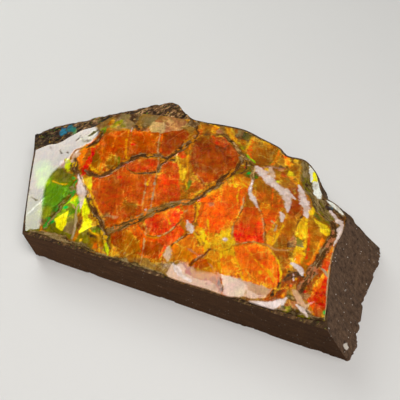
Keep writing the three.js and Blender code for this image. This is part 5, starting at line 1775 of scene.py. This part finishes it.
@dataclass(frozen=True)
class ShaleFinish:
    """Dark shale: sawn, ground, crusted or broken, with a streak of mother-of-pearl on the crust."""

    sparkle: float = 0.9  # spacing of the painted glints on the ground end
    fleck: float = 0.8  # spacing of the shards of shell on the crust
    gloss: float = 0.12
    inclusion: Place = (0.0476, -0.026, 0.0027)  # the middle of a white grain near the end's foot
    lie: float = 0.46  # direction of the crust's ridges
    lumps: float = 0.0004  # depth of the fine relief, in metres

    def material(self) -> bpy.types.Material:
        """Builds the finish from the faces that the piece stores: each lays its colour over the one before.

        Returns:
            The material.
        """
        g = Graph(bpy.data.materials.new("dark_shale"))
        sawn, ground, crust, nacre, pale = (g.value(n) for n in ("sawn", "ground", "crust", "nacre", "pale"))
        grit = g.grain(0.35, 5)
        colour = g.blend(ground, g.blend(sawn, self._bedded(g), self._sawn(g)), self._ground(g))
        colour = g.blend(crust, colour, self._crusted(g, pale))
        colour = g.blend(1.0, colour, g.ramp(grit, ((0.25, [0.66] * 3), (0.75, [1.34] * 3))), "MULTIPLY")
        # Painted glints on the ground end, and the white inclusion, laid on as a pale colour.
        colour = g.blend(self._glints(g, ground), colour, linear(214, 204, 190))
        colour = g.blend(nacre, colour, self._pearl(g))
        relief = g.plus(g.times(grit, 0.5), g.times(g.grain(3.0, 5), 0.5))
        depth = g.sums("SUBTRACT", 1.0, g.times(g.plus(sawn, ground), 0.7))
        relief = {"Height": g.times(relief, depth), "Distance": self.lumps, "Strength": 0.8}
        bump = g.node("ShaderNodeBump", relief)
        return g.finish(
            Base_Color=colour, Roughness=g.span(ground, 0, 1, 0.8, 0.7), Specular_IOR_Level=self.gloss,
            Coat_Weight=g.times(nacre, 0.06), Coat_Roughness=0.3, Normal=bump.outputs[0],
        )

    def _bedded(self, g: Graph) -> Socket:
        """Colour of the broken sides, in beds."""
        beds = g.grain(1.6, 6, (0.25, 0.25, 2.2))
        return g.tones(beds, (0.3, 42, 30, 20), (0.5, 80, 58, 38), (0.72, 120, 90, 60))

    def _sawn(self, g: Graph) -> Socket:
        """Colour of the sawn front, streaked along +X, with painted light at its left end and painted shade
        towards the right.
        """
        hue = g.tones(g.grain(0.8, 4, (0.12, 1, 1)), (0.3, 64, 42, 25), (0.55, 76, 50, 30), (0.75, 92, 62, 38))
        # Painted light and shade: lighter at the left end of the front, darker at the right.
        return g.blend(1.0, hue, g.span(g.along_x(), -0.036, 0.045, 1.15, 0.75), "MULTIPLY")

    def _ground(self, g: Graph) -> Socket:
        """Colour of the ground end."""
        stops = (0.3, 52, 38, 28), (0.44, 90, 68, 52), (0.56, 102, 78, 59), (0.75, 124, 98, 76)
        return g.tones(g.grain(1.1, 6), *stops)

    def _crusted(self, g: Graph, pale: Socket) -> Socket:
        """Crust with shards of shell here and there.

        Args:
            g: the graph.
            pale: how light the crust is.

        Returns:
            Its colour.
        """
        bare = g.tones(
            g.grain(0.8, 6, (1, 0.4, 1), self.lie), (0.34, 10, 7, 5), (0.45, 52, 35, 20), (0.54, 94, 64, 38),
            (0.64, 172, 132, 86), (0.74, 216, 184, 142),
        )
        bare = g.blend(1.0, bare, pale, "MULTIPLY")
        place = {"Vector": g.turned((1, 0.5, 1), self.lie), "Scale": 1 / self.fleck}
        tints = zip((0.3, 0.42, 0.5, 0.58, 0.68), (F.OLIVE, F.GOLD, F.RUST, F.TAN, F.GREEN))
        shard = g.node("ShaderNodeTexVoronoi", place).outputs["Color"]
        tint = g.ramp(shard, [(at, flash.linear) for at, flash in tints])
        return g.blend(g.span(g.grain(0.5, 3), 0.6, 0.66, 0, 0.85), bare, tint)

    def _glints(self, g: Graph, ground: Socket) -> Socket:
        """Painted glints: small white specks in a stream over the ground end, and one white inclusion.

        Args:
            g: the graph.
            ground: share of the ground end.

        Returns:
            The share that they cover.
        """
        place = {"Vector": g.turned((1, 1, 1)), "Scale": 1 / self.sparkle}
        grain = g.node("ShaderNodeTexVoronoi", place).outputs
        bright = g.span(grain["Distance"], 0.14, 0.2, 1, 0)
        stream = g.span(g.grain(1.1, 2, (0.5, 0.12, 0.3), -0.3), 0.5, 0.56, 0, 1)
        chosen = g.times(g.span(grain["Color"], 0.55, 0.58, 0, 1), stream)
        glint = g.times(g.times(bright, chosen), g.plus(ground, 0.15))
        apart = {0: g.place["Object"], 1: self.inclusion}
        apart = g.node("ShaderNodeVectorMath", apart, operation="DISTANCE").outputs["Value"]
        apart = g.plus(apart, g.vary(g.grain(0.9, 3), -0.0005, 0.0005))
        return g.sums("MAXIMUM", glint, g.span(apart, 0.0007, 0.001, 1, 0))

    def _pearl(self, g: Graph) -> Socket:
        """Mother-of-pearl, from blue on the left to green on the right.

        Args:
            g: the graph.

        Returns:
            Its colour.
        """
        across = g.span(g.along_x(), -0.0445, -0.0385, 0, 0.7)
        across = g.plus(across, g.vary(g.grain(1.0, 4, (1, 0.4, 1), 0.9), -0.1, 0.4))
        return g.tones(
            across, (0.1, 10, 56, 90), (0.25, 10, 118, 150), (0.45, 8, 76, 88), (0.6, 14, 112, 104),
            (0.75, 44, 118, 62), (0.95, 120, 140, 84),
        )


# ---- Studio ----


@dataclass(frozen=True)
class Softbox:
    """A flat soft light that faces the piece."""

    name: str
    at: Place
    size: Point
    radiance: float
    tint: Place = (1, 1, 1)
    aim: Place = (0, 0, 8)

    def build(self) -> bpy.types.Object:
        """Makes the light; its power is radiance times pi times its area.

        Returns:
            The light, linked to the scene.
        """
        width, height = (side * MM for side in self.size)
        light = bpy.data.lights.new(self.name, "AREA")
        light.shape, light.size, light.size_y = "RECTANGLE", width, height
        light.energy = self.radiance * math.pi * width * height
        light.color = self.tint
        made = bpy.data.objects.new(self.name, light)
        made.location = Vector(self.at) * MM
        toward = Vector(self.aim) - Vector(self.at)
        made.rotation_euler = toward.to_track_quat("-Z", "Y").to_euler()
        made.visible_camera = False
        bpy.context.scene.collection.objects.link(made)
        return made


@dataclass
class Studio:
    """Pale floor, dim room, soft lights and the camera."""

    floor_size: float = 6000.0
    floor_tint: tuple[float, ...] = (0.74, 0.73, 0.71, 1)
    glow: tuple[Point, Point] = ((0.03, 0.7), (0.26, 0.05))  # height on the wall, and how pale it is there
    azimuth: float = 22.6
    elevation: float = 48.0
    distance: float = 242.0
    target: Place = (0.5, -1.0, 7.5)
    lens: float = 85.0
    sensor: float = 36.0
    softboxes: tuple[Softbox, ...] = (
        Softbox("overhead", (30, -72.5, 300), (240, 215), 3.6, (1, 0.97, 0.95), (30, -72.5, 0)),
        Softbox("left_back", (-359, 281, 231.5), (305, 172), 7.3, (0.97, 1, 0.98), (-17, 26, 4.6)),
        Softbox(
            "left_high", (-360.5, 154.4, 371.8), (120, 160), 7.3, (0.97, 1, 0.98), (-18.7, -100.5, 144.9),
        ),
        Softbox("fill", (260, -330, 330), (300, 300), 2.4),
    )

    def build(self) -> None:
        """Makes everything that surrounds the piece."""
        self._floor()
        self._room()
        for softbox in self.softboxes:
            softbox.build()
        self._camera()
        bpy.context.scene.view_settings.view_transform = "Standard"

    def _floor(self) -> None:
        """A wide, pale, matt floor under the piece."""
        half = self.floor_size / 2 * MM
        mesh = bpy.data.meshes.new("floor")
        corners = [(-half, -half, 0), (half, -half, 0), (half, half, 0), (-half, half, 0)]
        mesh.from_pydata(corners, [], [(0, 1, 2, 3)])
        floor = bpy.data.objects.new("floor", mesh)
        g = Graph(bpy.data.materials.new("pale_floor"))
        floor.data.materials.append(g.finish(Base_Color=self.floor_tint, Roughness=0.85))
        bpy.context.scene.collection.objects.link(floor)

    def _room(self) -> None:
        """A dim room that is pale near the floor, so that low views have a pale background."""
        g = Graph(bpy.data.worlds.new("room"))
        rise = g.node("ShaderNodeSeparateXYZ", {0: g.place["Generated"]}).outputs["Z"]
        glow = g.ramp(rise, [(at, [level] * 3) for at, level in self.glow])
        background = g.node("ShaderNodeBackground", {"Color": glow})
        g.node("ShaderNodeOutputWorld", {"Surface": background.outputs[0]})
        bpy.context.scene.world = g.owner

    def _camera(self) -> None:
        """The camera, at its azimuth and elevation from the target."""
        turn, rise = math.radians(self.azimuth), math.radians(self.elevation)
        back = Vector((math.sin(turn) * math.cos(rise), -math.cos(turn) * math.cos(rise), math.sin(rise)))
        data = bpy.data.cameras.new("camera")
        data.lens, data.sensor_width, data.clip_start = self.lens, self.sensor, 0.01
        camera = bpy.data.objects.new("camera", data)
        camera.location = (Vector(self.target) + back * self.distance) * MM
        camera.rotation_euler = back.to_track_quat("Z", "Y").to_euler()
        bpy.context.scene.collection.objects.link(camera)
        bpy.context.scene.camera = camera


def main() -> None:
    """Builds the pieces in order, rides them on the part's body and sets up the studio."""
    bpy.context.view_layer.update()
    stone = ShaleStone().build()
    shell = ShellLayer().build()
    for piece, node, slot in ((stone, "shale_matrix", "shale"), (shell, "ammolite_layer", "ammolite")):
        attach(piece, "root")
        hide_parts(node)
        LOG.info("%s: %d faces in place of %s", piece.name, len(piece.data.polygons), node)
    Studio().build()


if __name__ == "__main__":
    logging.basicConfig(level=logging.INFO, format="%(name)s: %(message)s")
    main()
